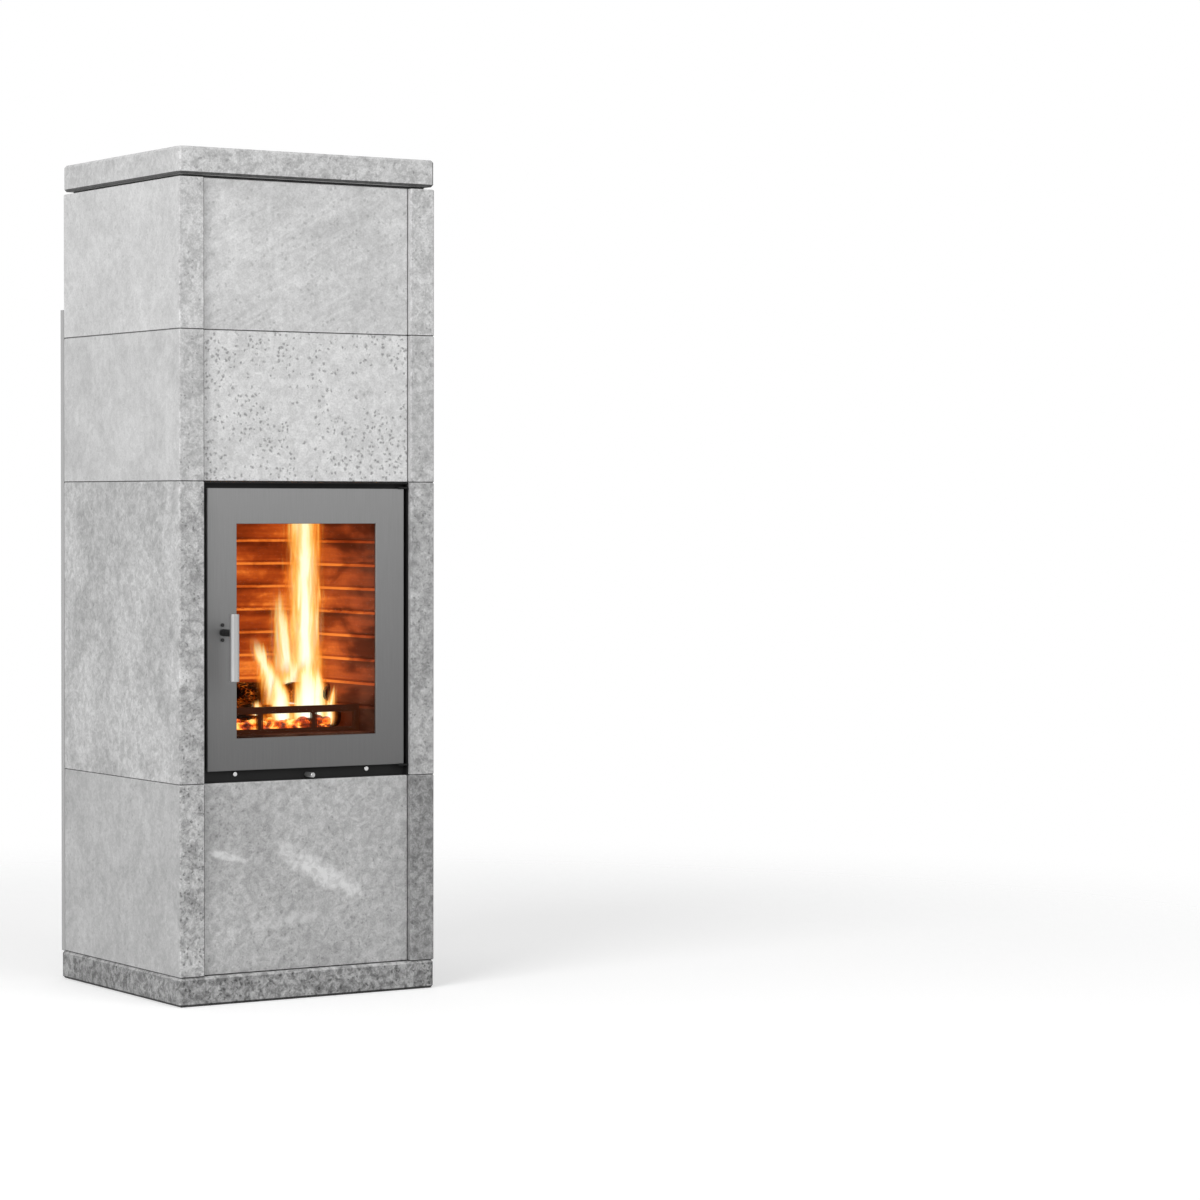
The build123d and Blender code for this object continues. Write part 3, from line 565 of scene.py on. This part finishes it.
# The door leaf's tone is painted darker towards the bottom: painted shade.
LEAF_PAINTED_SHADE = (leaf_low[2], leaf_high[2], 0.56, 1.05)
black_paint = metal("black_paint", 0.010, 0.0, 0.60, 0.1, 0.4, peel=1.0, shine=0.18)
dark_steel = metal("dark_steel", 0.02, 0.5, 0.42, 0.2, 0.3, peel=0.4)
grey_leaf = metal("grey_leaf", 0.235, 0.30, 0.50, 0.26, 0.14, peel=0.15, shine=0.3, painted_shade=LEAF_PAINTED_SHADE)
bright_bar = metal("bright_bar", 0.42, 0.85, 0.34, 0.16, 0.1)
bright_screw = metal("bright_screw", 0.62, 1.0, 0.25, 0.1, 0.1)
cast_iron = metal("cast_iron", 0.018, 0.2, 0.75, 0.1, 0.6, peel=2.5, shine=0.3)
# The grate and log guard get a faint red emission: painted firelight on the iron.
firelit_iron = metal("firelit_iron", 0.006, 0.0, 0.85, 0.1, 0.6, peel=2.5, shine=0.1, glow=(0.035, 0.007, 0.001))
shield_paint = metal("shield_paint", 0.42, 0.2, 0.5, 0.12, 0.15, peel=1.0, shine=0.3)
finishes = {
    black_paint: ("door_frame", "air_box", "ash_pan", "glass_holder", "glass_clamps", "fresh_air_socket"),
    shield_paint: ("rear_shield",),
    grey_leaf: ("door_leaf",),
    dark_steel: ("handle_neck", "latch_cam", "handle_bush", "handle_screws", "hinge_pins", "clamp_screws",
                 "collar_screws", "shield_screws", "shield_spacers"),
    bright_bar: ("handle_bar", "air_rod", "air_valve"),
    bright_screw: ("strip_screws",),
    cast_iron: ("flue_collar",),
    firelit_iron: ("grate", "log_guard"),
}
for material, names in finishes.items():
    for name in names:
        finish_part(name, material)

# %% [markdown]
# ## Glass and rope
#
# Stove glass is a clear ceramic pane with a breath of smoke on it. It is left mostly see-through with
# Alpha, so that little light is lost on the way to the fire, and its index of refraction is low, because
# the white room's reflection would veil the fire. The door's seal is a braided rope: two waves that cross
# give its braid.


# %% Dress the glass and the seals
PANE_IOR = 1.08
PANE_TINT = (0.96, 0.97, 0.96, 1.0)
FILM_SCALE = 14.0
BRAID_TURN = 0.7
BRAID_SCALE = 110.0
ROPE_BUMP = 0.001


def stove_glass():
    """Clear pane with a breath of film on it."""
    material, tree, shader = new_material(
        "stove_glass", Transmission_Weight=1.0, IOR=PANE_IOR, Metallic=0.0, Base_Color=PANE_TINT
    )
    film = cloud(tree, own_place(tree), FILM_SCALE, 3.0, 0.6, 0.8)
    tree.links.new(spread(tree, film, 0.35, 0.75, 0.02, 0.10), shader.inputs["Roughness"])
    tree.links.new(spread(tree, film, 0.35, 0.75, 0.10, 0.16), shader.inputs["Alpha"])
    return material


def seal_rope():
    """Braided dark glass-fibre rope."""
    material, tree, shader = new_material("seal_rope", Metallic=0.0, Roughness=0.9)
    place = own_place(tree)
    braid = []
    for turn in (BRAID_TURN, -BRAID_TURN):
        turned = stretched(tree, place, (1.0, 1.0, 1.0), (0.0, turn, 0.0))
        wave = add(tree, "ShaderNodeTexWave", Vector=turned, Scale=BRAID_SCALE, Distortion=0.6)
        braid.append(wave.outputs["Fac"])
    height = product(tree, braid)
    tree.links.new(mixed(tree, height, grey(0.02), grey(0.09)), shader.inputs["Base Color"])
    bumped(tree, shader, height, ROPE_BUMP, 0.8)
    return material


finish_part("door_glass", stove_glass())
rope_finish = seal_rope()
for name in ("door_rope", "glass_tape", "top_seal"):
    finish_part(name, rope_finish)

# %% [markdown]
# ## The firebox lining
#
# The lining is firebrick with ledges, patchy with soot and glowing in the light of the fire. Lamps inside
# the box could light it, but they are lost when the model is used elsewhere. So the brick itself carries a
# soft orange emission that falls off with distance from the fire, and one warm lamp adds shape on top of
# it.

# %% Place the fire and dress the lining
wood_low, wood_high = (Vector(corner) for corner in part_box("firewood"))
wood_middle = (wood_low + wood_high) / 2.0
wall_low = Vector(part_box("lining_back_lower")[0])
grate_low, grate_high = (Vector(corner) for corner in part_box("grate"))
GLOW_HEART = (0.11, wall_low.y - 0.02, wood_high.z + 0.12)
GLOW_FADE = (0.52, 0.10)  # how far off the glow ends, and how near it is full
LEDGE_FIRST = 0.575
LEDGE_PITCH = 0.0486
LEDGE_LIGHT = 1.7
LEDGE_SHADE = 0.75
BELOW_LEDGE_SHADE = 0.62
# The painted firelight is weaker at the foot of the lining.
DIM_FOOT = (0.56, 0.64, 0.30, 1.0)  # low z, high z, and the glow's share at each
BRICK_GRAIN_SCALE = 130.0
PATCH_SIZE = (0.16, 0.16, 0.06)
SMEAR_SIZE = (0.14, 0.14, 0.008)
BRICK_TINT = (1.0, 0.62, 0.40)
SOOT_TINT = (0.4, 0.2, 0.12)
BRICK_BUMP = 0.0010
BRICK_GLOW = [(0.0, (0.006, 0.001, 0.0)), (0.25, (0.10, 0.011, 0.002)), (0.5, (0.34, 0.043, 0.006)),
              (0.75, (0.55, 0.088, 0.010)), (1.0, (0.90, 0.22, 0.03))]


def firebrick(name, tone, glow):
    """Sooty firebrick with painted firelight near the fire, brighter on the ledges and with painted shade
    beneath them.
    """
    material, tree, shader = new_material(
        name, Metallic=0.0, Roughness=0.9, Specular_IOR_Level=0.1, Emission_Strength=glow
    )
    place = own_place(tree)
    level = axis_of(tree, place, 2)
    up = axis_of(tree, own_normal(tree), 2)
    near = spread(tree, vector_calc(tree, "DISTANCE", place, GLOW_HEART), *GLOW_FADE, smooth=False)
    course = calc(tree, "DIVIDE", calc(tree, "SUBTRACT", level, LEDGE_FIRST), LEDGE_PITCH)
    course = calc(tree, "FRACT", course)
    patch = cloud(tree, stretched(tree, place, PATCH_SIZE), 1.0, 3.0, 0.55, 0.3)
    smear = cloud(tree, stretched(tree, place, SMEAR_SIZE), 1.0, 3.0, 0.6, 0.2)
    grain = cloud(tree, place, BRICK_GRAIN_SCALE, 3.0, 0.65)
    clean, sooty = ((*(tone * share for share in tint), 1.0) for tint in (BRICK_TINT, SOOT_TINT))
    ground = mixed(tree, spread(tree, patch, 0.40, 0.62), clean, sooty)
    tree.links.new(ground, shader.inputs["Base Color"])

    # heat here is painted firelight: the brick's emission stands in for the fire's light, weaker far from
    # the fire, on soot, below each ledge and at the foot.
    heat = product(tree, (
        near,
        spread(tree, patch, 0.64, 0.40, 0.45, 1.0),
        spread(tree, course, 0.62, 0.97, 1.0, BELOW_LEDGE_SHADE),
        swing(tree, smear, 0.8),
        swing(tree, grain, 0.5),
        spread(tree, spread(tree, up, 0.3, 0.6), 0.0, 1.0, 1.0, LEDGE_LIGHT),
        spread(tree, spread(tree, up, -0.3, -0.6), 0.0, 1.0, 1.0, LEDGE_SHADE),
        spread(tree, level, *DIM_FOOT),
    ))
    tree.links.new(ramp(tree, heat, BRICK_GLOW), shader.inputs["Emission Color"])
    bumped(tree, shader, calc(tree, "ADD", grain, patch), BRICK_BUMP, 0.6)
    return material


brick = firebrick("firebrick", 0.05, 1.0)
for name in ("lining_back_lower", "lining_back_upper", "lining_left", "lining_right", "baffle_plate"):
    finish_part(name, brick)
finish_part("firebox_floor", firebrick("floor_brick", 0.06, 0.8))

# %% [markdown]
# ## The masonry core
#
# Behind the stones stand plain sawn blocks, a hearth slab and insulation boards. They show only when the
# stove is taken apart, so they reuse the soapstone group in a rougher, greyer setting, and the boards get
# a fibrous mineral look.


# %% Dress the core
FIBRE_SIZE = (0.016, 0.0025, 0.0025)
FIBRE_COLOURS = ((0.62, 0.58, 0.50, 1.0), (0.80, 0.77, 0.70, 1.0))
FIBRE_BUMP = 0.0005
FIRST_CORE_SEED = 71


def mineral_board():
    """Pale calcium-silicate board with fine fibres."""
    material, tree, shader = new_material("mineral_board", Metallic=0.0, Roughness=0.95)
    fibre = cloud(tree, stretched(tree, own_place(tree), FIBRE_SIZE), 1.0, 3.0, 0.6)
    tree.links.new(mixed(tree, fibre, *FIBRE_COLOURS), shader.inputs["Base Color"])
    bumped(tree, shader, fibre, FIBRE_BUMP)
    return material


core_blocks = ("pedestal_blocks", "hearth_slab", "storage_blocks", "smoke_shelf", "top_board")
for seed, name in enumerate(core_blocks, FIRST_CORE_SEED):
    finish_part(name, soapstone(f"{name}_core", seed, Tone=0.34, Clouds=0.3, Mottle=0.5, Flecks=0.2))
finish_part("insulation_boards", mineral_board())

# %% [markdown]
# ## Logs
#
# A log is never quite round: its bark is ridged along the grain and bulges at knots, and in the fire it
# chars black with glowing seams. Each log is a tube of rings, and noise pushes its points in. Sculpting
# would give the same shape but couldn't be rerun, and a displacement modifier needs far more faces.


# %% Make the logs
LOG_RINGS = 26
LOG_POINTS = 30
LOG_TAPER = 0.10
BARK_BASE = 0.93
RIDGE_RISE = 0.10
KNOT_RISE = 0.06
LOG_SIZE = 0.027
TOP_LOG_SIZE = 0.022
TOP_LOG_TURN = math.radians(-38.0)
TOP_LOG_GAP = 0.010
LOG_STEP = 0.0375
CRACK_SIZE = (0.022, 0.006, 0.006)
CRACK_WIDTH = 0.16
CRACK_GLOW = [(0.0, (0.0, 0.0, 0.0)), (0.4, (0.5, 0.06, 0.0)), (1.0, (1.0, 0.32, 0.04))]
CHAR_COLOURS = ((0.010, 0.006, 0.005, 1.0), (0.07, 0.05, 0.04, 1.0))
CHAR_BUMP = 0.002


def new_object(name, mesh_builder, material, body, smooth=True):
    """Turns a bmesh into an object that rides on a body of the stove."""
    mesh = bpy.data.meshes.new(name)
    mesh_builder.normal_update()
    mesh_builder.to_mesh(mesh)
    mesh_builder.free()
    mesh.materials.append(material)
    made = bpy.data.objects.new(name, mesh)
    bpy.context.collection.objects.link(made)
    if smooth:
        for face in mesh.polygons:
            face.use_smooth = True
    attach(made, body)
    return made


def tube_of_rings(rings):
    """A closed bmesh through rings of points, with both ends filled."""
    made = bmesh.new()
    loops = [[made.verts.new(point) for point in ring] for ring in rings]
    for first, second in zip(loops, loops[1:]):
        count = len(first)
        for i in range(count):
            j = (i + 1) % count
            made.faces.new((first[i], first[j], second[j], second[i]))
    for loop, turned in ((loops[0], True), (loops[-1], False)):
        middle = made.verts.new(sum((vert.co for vert in loop), Vector()) / len(loop))
        for i, vert in enumerate(loop):
            after = loop[(i + 1) % len(loop)]
            made.faces.new((middle, after, vert) if turned else (middle, vert, after))
    bmesh.ops.recalc_face_normals(made, faces=made.faces)
    return made


def charred_wood():
    """Black char with cracks that glow in patches."""
    material, tree, shader = new_material(
        "charred_wood", Metallic=0.0, Roughness=0.95, Specular_IOR_Level=0.1, Emission_Strength=1.0
    )
    place = own_place(tree)
    gape = cloud(tree, place, 60.0)
    cells = add(tree, "ShaderNodeTexVoronoi", Vector=stretched(tree, place, CRACK_SIZE), Scale=1.0)
    cells.feature = "DISTANCE_TO_EDGE"
    crack = spread(tree, cells.outputs["Distance"], calc(tree, "MULTIPLY", gape, CRACK_WIDTH), 0.0)
    ash = cloud(tree, place, 55.0, 3.0, 0.6)
    ground = mixed(tree, spread(tree, ash, 0.5, 0.72), *CHAR_COLOURS)
    tree.links.new(ground, shader.inputs["Base Color"])
    heat = calc(tree, "MULTIPLY", crack, spread(tree, cloud(tree, place, 26.0), 0.50, 0.66))
    tree.links.new(ramp(tree, heat, CRACK_GLOW), shader.inputs["Emission Color"])
    bumped(tree, shader, calc(tree, "SUBTRACT", ash, crack), CHAR_BUMP)
    return material


def bark_noise(angle, share, turns, lengths, shift):
    """A noise value on a log's bark. turns and lengths say how fast it changes round and along the log."""
    return noise.noise(Vector((math.cos(angle) * turns, math.sin(angle) * turns, share * lengths)) + shift)


def log_rings(start, end, radius, seed):
    """Rings of points of one log from start to end, ridged along the grain and never past the radius."""
    axis = (end - start).normalized()
    side = axis.cross(Vector((0.0, 0.0, 1.0))).normalized()
    up = side.cross(axis)
    shift = Vector((seed * 3.7, seed * 1.3, seed * 5.1))
    made = []
    for step in range(LOG_RINGS):
        share = step / (LOG_RINGS - 1)
        middle = start.lerp(end, share)
        taper = 1.0 - LOG_TAPER * abs(2.0 * share - 1.0) ** 6
        ring = []
        for i in range(LOG_POINTS):
            angle = 2.0 * math.pi * i / LOG_POINTS
            out = side * math.cos(angle) + up * math.sin(angle)
            ridge = bark_noise(angle, share, 3.2, 2.0, shift)
            knot = bark_noise(angle, share, 1.1, 5.0, -shift)
            size = radius * taper * (BARK_BASE + RIDGE_RISE * ridge + KNOT_RISE * knot)
            ring.append(middle + out * min(size, radius))
        made.append(ring)
    return made


CHAR = charred_wood()
log_half = (wood_high.x - wood_low.x) / 2.0
top_half = log_half - TOP_LOG_GAP
top_along = Vector((math.cos(TOP_LOG_TURN), math.sin(TOP_LOG_TURN), 0.0)) * top_half
log_plan = []
for side in (-1.0, 1.0):
    middle = Vector((wood_middle.x, wood_middle.y + side * LOG_STEP, wood_low.z + LOG_SIZE))
    log_plan.append((middle, Vector((log_half, 0.0, 0.0)), LOG_SIZE))
top_middle = Vector((wood_middle.x, wood_middle.y, wood_high.z - TOP_LOG_SIZE))
log_plan.append((top_middle, top_along, TOP_LOG_SIZE))
for index, (middle, along, size) in enumerate(log_plan, 1):
    rings = log_rings(middle - along, middle + along, size, index)
    log = new_object(f"log_{index}", tube_of_rings(rings), CHAR, "wood")
    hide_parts("firewood")

# %% [markdown]
# ## Embers
#
# In front of the logs lies a bed of glowing coals. Each coal is a small icosphere squashed and pushed
# about by noise. They are joined into one mesh, since nobody moves them one by one.


# %% Make the ember bed
EMBER_SEED = 5
EMBER_COUNT = 230
EMBER_SIZE = (0.005, 0.011)
EMBER_SHAPE = (1.3, 1.0, 0.75, 1.0)
EMBER_GAP = 0.006
EMBER_SIDE_MARGIN = 0.012
EMBER_FRONT_MARGIN = 0.004
EMBER_FLOAT = 0.0004
EMBER_RISE = (0.8, 2.4)
EMBER_TURN = 6.28
EMBER_PUSH = 0.28
EMBER_PUSH_SCALE = 90.0
EMBER_GLOW = [(0.0, (0.03, 0.002, 0.0)), (0.35, (0.55, 0.05, 0.0)), (0.7, (1.0, 0.28, 0.02)),
              (1.0, (1.0, 0.62, 0.16))]
EMBER_BUMP = 0.001


def ember_glow():
    """Coals that glow from red to yellow, with grey ash on their tops."""
    material, tree, shader = new_material("ember_glow", Metallic=0.0, Roughness=0.95, Emission_Strength=1.6)
    place = own_place(tree)
    up = axis_of(tree, own_normal(tree), 2)
    mass = cloud(tree, place, 34.0, 3.0, 0.6, 0.5)
    fine = cloud(tree, place, 190.0, 2.0, 0.6)
    sparkle = calc(tree, "MULTIPLY", calc(tree, "SUBTRACT", fine, 0.5), 0.7)
    heat = calc(tree, "ADD", spread(tree, mass, 0.40, 0.70), sparkle)
    tree.links.new(ramp(tree, heat, EMBER_GLOW), shader.inputs["Emission Color"])
    ash = spread(tree, up, 0.5, 1.0)
    tree.links.new(mixed(tree, ash, grey(0.02), grey(0.12)), shader.inputs["Base Color"])
    bumped(tree, shader, fine, EMBER_BUMP)
    return material


embers_end = wood_middle.y - LOG_STEP - LOG_SIZE - EMBER_GAP
chance = random.Random(EMBER_SEED)
bed = bmesh.new()
for _ in range(EMBER_COUNT):
    size = chance.uniform(*EMBER_SIZE)
    place = Vector((
        chance.uniform(grate_low.x + EMBER_SIDE_MARGIN, grate_high.x - EMBER_SIDE_MARGIN),
        chance.uniform(grate_low.y + EMBER_FRONT_MARGIN, embers_end),
        grate_high.z + size * chance.uniform(*EMBER_RISE),
    ))
    shape = Matrix.Translation(place) @ Matrix.Rotation(chance.uniform(0.0, EMBER_TURN), 4, "Z")
    shape = shape @ Matrix.Diagonal(EMBER_SHAPE)
    made = bmesh.ops.create_icosphere(bed, subdivisions=2, radius=size, matrix=shape)
    for vert in made["verts"]:
        push = EMBER_PUSH * noise.noise(vert.co * EMBER_PUSH_SCALE)
        vert.co += (vert.co - place) * push
        vert.co.z = max(vert.co.z, grate_high.z + EMBER_FLOAT)
embers = new_object("ember_bed", bed, ember_glow(), "stove", smooth=False)

# %% [markdown]
# ## Flames
#
# A flame has no surface: it is a sheet of glowing gas, brightest in its core and torn into threads at its
# edges. A volume would take long to render and can't be exported, so a few upright sheets stand one behind
# the other, and each one's material draws its tongues. A tongue is worked out from how far a point is from
# its own centre line, which leans and sways. That distance sets the colour from white-yellow to deep
# orange and fades the edge out, and a tall, stretched noise tears it into threads.


# %% Build the flame group
WANDER_SCALE = 9.0
WANDER_SWING = 6.0
NARROWING = 0.94
TAPER_POWER = 0.75
THREADS_ACROSS = 62.0
THREADS_ALONG = 9.0


def flame_group():
    """How hot and how solid a flame tongue is at a point of its sheet, in the stove's own space."""
    tree, inputs, outputs = new_group(
        "flame_tongue",
        {
            "Centre": (FLOAT, 0.0),
            "Base": (FLOAT, 0.6),
            "Height": (FLOAT, 0.3),
            "Half width": (FLOAT, 0.03),
            "Lean": (FLOAT, 0.0),
            "Sway": (FLOAT, 0.01),
            "Point": (FLOAT, 1.0),
            "Seed": (FLOAT, 0.0),
        },
        {"Heat": FLOAT, "Body": FLOAT},
    )
    across, _, level = add(tree, "ShaderNodeSeparateXYZ", Vector=own_place(tree)).outputs
    rise = calc(tree, "DIVIDE", calc(tree, "SUBTRACT", level, inputs["Base"]), inputs["Height"])
    held = calc(tree, "MAXIMUM", calc(tree, "MINIMUM", rise, 1.0), 0.0)
    wander_place = add(tree, "ShaderNodeCombineXYZ", X=inputs["Seed"], Z=level).outputs[0]
    wander = calc(tree, "SUBTRACT", cloud(tree, wander_place, WANDER_SCALE), 0.5)
    sway = product(tree, (wander, WANDER_SWING, inputs["Sway"]))
    drift = calc(tree, "MULTIPLY", calc(tree, "ADD", sway, inputs["Lean"]), held)
    centre = calc(tree, "ADD", inputs["Centre"], drift)
    narrowing = product(tree, (held, NARROWING, inputs["Point"]))
    taper = calc(tree, "POWER", calc(tree, "SUBTRACT", 1.0, narrowing), TAPER_POWER)
    swell = spread(tree, held, 0.0, 0.22, 0.62, 1.0)
    half = product(tree, (taper, swell, inputs["Half width"]))
    away = calc(tree, "DIVIDE", calc(tree, "ABSOLUTE", calc(tree, "SUBTRACT", across, centre)), half)
    thread_place = add(
        tree,
        "ShaderNodeCombineXYZ",
        X=calc(tree, "MULTIPLY", across, THREADS_ACROSS),
        Y=inputs["Seed"],
        Z=calc(tree, "MULTIPLY", level, THREADS_ALONG),
    ).outputs[0]
    threads = calc(tree, "SUBTRACT", cloud(tree, thread_place, 1.0, 3.0, 0.5, 0.8), 0.5)
    reach = calc(tree, "ADD", away, calc(tree, "MULTIPLY", threads, spread(tree, held, 0.0, 1.0, 0.9, 1.9)))
    ends = calc(tree, "MULTIPLY", spread(tree, rise, 1.0, 0.72), spread(tree, rise, 0.0, 0.08))
    body = calc(tree, "MULTIPLY", spread(tree, reach, 1.15, 0.35), ends)
    core = spread(tree, reach, 0.92, 0.12, smooth=False)
    heat = calc(tree, "MULTIPLY", core, spread(tree, rise, 1.15, 0.25, 0.6, 1.0))
    tree.links.new(heat, outputs["Heat"])
    tree.links.new(body, outputs["Body"])
    return tree


FLAME = flame_group()
FLAME_COLOURS = [(0.0, (0.60, 0.08, 0.003)), (0.22, (1.0, 0.24, 0.015)), (0.45, (1.0, 0.52, 0.10)),
                 (0.7, (1.0, 0.84, 0.42)), (1.0, (1.0, 0.97, 0.80))]
FLAME_SWAY = 0.005
SEED_STEP = 2.7
SEED_PER_METRE = 40.0
SHEET_STEPS = 24
SHEET_BOW = 0.010
SHEET_PAST_WOOD = 0.045
SHEET_GAP = 0.008
sheet_left = wood_low.x - SHEET_PAST_WOOD
sheet_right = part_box("lining_right")[0][0] - SHEET_GAP


def flame_material(name, strength, base, tongues):
    """A sheet's finish: emission only, see-through wherever no tongue is."""
    material, tree, shader = new_material(
        name, Base_Color=grey(0.0), Metallic=0.0, Roughness=1.0, Specular_IOR_Level=0.0,
        Emission_Strength=strength,
    )
    heat = 0.0
    body = 0.0
    for seed, (centre, height, half_width, lean, point) in enumerate(tongues, 1):
        flame = use_group(
            tree, FLAME, Centre=centre, Base=base, Height=height, Half_width=half_width, Lean=lean,
            Sway=FLAME_SWAY, Point=point, Seed=seed * SEED_STEP + centre * SEED_PER_METRE,
        )
        heat = calc(tree, "MAXIMUM", heat, flame["Heat"])
        body = calc(tree, "MAXIMUM", body, flame["Body"])
    tree.links.new(ramp(tree, heat, FLAME_COLOURS), shader.inputs["Emission Color"])
    tree.links.new(body, shader.inputs["Alpha"])
    return material


def flame_sheet(name, y, base, top, strength, tongues):
    """An upright, slightly bowed sheet across the firebox that carries several tongues."""
    made = bmesh.new()
    rows = []
    for step in range(SHEET_STEPS + 1):
        share = step / SHEET_STEPS
        depth = y + SHEET_BOW * math.sin(share * math.pi * 2.0)
        x = sheet_left + (sheet_right - sheet_left) * share
        rows.append([made.verts.new((x, depth, z)) for z in (base, top)])
    for first, second in zip(rows, rows[1:]):
        made.faces.new((first[0], second[0], second[1], first[1]))
    sheet = new_object(name, made, flame_material(f"{name}_glow", strength, base, tongues), "stove")


# %% Light the flames
FLAME_TOP_GAP = 0.006
LOG_FLAME_RISE = 0.020
EMBER_FLAME_RISE = 0.008
EMBER_FLAME_HEIGHT = 0.16
flame_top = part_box("baffle_plate")[0][2] - FLAME_TOP_GAP
log_top = wood_low.z + LOG_FLAME_RISE
ember_top = wood_low.z + EMBER_FLAME_RISE
flame_sheets = [
    # name, y, base, top, strength, tongues of (centre, height, half width, lean, point)
    ("flame_back", -0.020, log_top, flame_top, 0.9,
     [(0.125, 0.62, 0.062, 0.0, 0.40), (0.080, 0.28, 0.050, -0.02, 1.0)]),
    ("flame_column", -0.055, log_top, flame_top, 1.15,
     [(0.108, 0.70, 0.052, -0.004, 0.40), (0.070, 0.26, 0.036, -0.022, 0.9),
      (0.120, 0.22, 0.040, 0.0, 1.0)]),
    ("flame_core", -0.085, log_top, flame_top, 1.2,
     [(0.090, 0.62, 0.036, -0.004, 0.5), (0.040, 0.175, 0.044, -0.060, 0.9),
      (0.112, 0.18, 0.036, -0.015, 1.0), (0.066, 0.130, 0.078, -0.012, 0.9)]),
    ("flame_foot", -0.138, ember_top, ember_top + EMBER_FLAME_HEIGHT, 1.3,
     [(0.066, 0.150, 0.064, 0.0, 1.0), (0.014, 0.115, 0.044, -0.01, 1.0),
      (0.086, 0.130, 0.044, 0.006, 1.0), (0.114, 0.088, 0.026, 0.012, 1.0),
      (-0.040, 0.060, 0.030, 0.0, 1.0)]),
]
for sheet in flame_sheets:
    flame_sheet(*sheet)
print("flame sheets:", len(flame_sheets))

# %% [markdown]
# ## Floor, world and lamps
#
# The stove stands on a seamless white sweep. A floor that fades out with distance keeps the soft shadow
# and leaves no horizon. The world gives most of the light, since the stone is lit almost evenly, and two
# large soft lamps give the faces a little shape. The fire has a small warm lamp of its own, which isn't
# seen itself.


# %% Build the studio
WORLD_LEVEL = 0.52
FLOOR_TONE = 0.85
FLOOR_LIFT = 0.29
FLOOR_FADE = (1.2, 3.4)
FLOOR_SIZE = 4.0
FLOOR_CELLS = 8
FLOOR_DROP = 0.0005
STOVE_MIDDLE = (0.0, 0.0, 0.9)
LAMP_SIZE = 3.0
FIRE_COLOUR = (1.0, 0.34, 0.06)
FIRE_POWER = 2.2
FIRE_RADIUS = 0.08
FIRE_PLACE = (0.08, wood_middle.y, wood_high.z + 0.08)


def white_world():
    """An even, white world that shows as pure white behind the stove."""
    world = bpy.data.worlds.new("studio")
    world.use_nodes = True
    tree = world.node_tree
    tree.nodes.clear()
    rays = tree.nodes.new("ShaderNodeLightPath").outputs
    shown = calc(tree, "MAXIMUM", rays["Is Camera Ray"], rays["Is Glossy Ray"])
    shown = calc(tree, "MAXIMUM", shown, rays["Is Transmission Ray"])
    level = calc(tree, "ADD", WORLD_LEVEL, calc(tree, "MULTIPLY", shown, 1.0 - WORLD_LEVEL))
    light = add(tree, "ShaderNodeBackground", Color=grey(1.0), Strength=level)
    output = tree.nodes.new("ShaderNodeOutputWorld")
    tree.links.new(light.outputs[0], output.inputs["Surface"])
    return world


def fading_floor():
    """A pale floor that holds the shadow near the stove and fades away from it."""
    material, tree, shader = new_material(
        "floor", Base_Color=grey(FLOOR_TONE), Roughness=0.9, Emission_Strength=1.0
    )
    rays = tree.nodes.new("ShaderNodeLightPath").outputs
    lift = calc(tree, "MULTIPLY", rays["Is Camera Ray"], FLOOR_LIFT)
    tree.links.new(grey_of(tree, lift), shader.inputs["Emission Color"])
    away = vector_calc(tree, "LENGTH", own_place(tree))
    tree.links.new(spread(tree, away, *reversed(FLOOR_FADE)), shader.inputs["Alpha"])
    return material


def lamp(name, kind, place, power, colour=(1.0, 1.0, 1.0)):
    """A lamp at a place. Its size is set by whoever asks for it."""
    data = bpy.data.lights.new(name, kind)
    data.energy = power
    data.color = colour
    made = bpy.data.objects.new(name, data)
    made.location = place
    bpy.context.collection.objects.link(made)
    return made


def soft_lamp(name, place, power):
    """A large square lamp that faces the stove."""
    made = lamp(name, "AREA", place, power)
    made.data.size = LAMP_SIZE
    made.rotation_euler = (Vector(STOVE_MIDDLE) - Vector(place)).to_track_quat("-Z", "Y").to_euler()


bpy.context.scene.world = white_world()
floor_mesh = bmesh.new()
bmesh.ops.create_grid(floor_mesh, x_segments=FLOOR_CELLS, y_segments=FLOOR_CELLS, size=FLOOR_SIZE)
floor_data = bpy.data.meshes.new("floor")
floor_mesh.to_mesh(floor_data)
floor_mesh.free()
floor_data.materials.append(fading_floor())
floor = bpy.data.objects.new("floor", floor_data)
floor.location.z = -FLOOR_DROP
bpy.context.collection.objects.link(floor)

soft_lamp("left_lamp", place=(-4.5, -2.5, 3.0), power=165.0)
soft_lamp("front_lamp", place=(1.2, -5.0, 3.2), power=66.0)
fire_lamp = lamp("fire_lamp", "POINT", FIRE_PLACE, FIRE_POWER, FIRE_COLOUR)
fire_lamp.data.shadow_soft_size = FIRE_RADIUS
fire_lamp.visible_camera = False
fire_lamp.visible_glossy = False
fire_lamp.visible_transmission = False
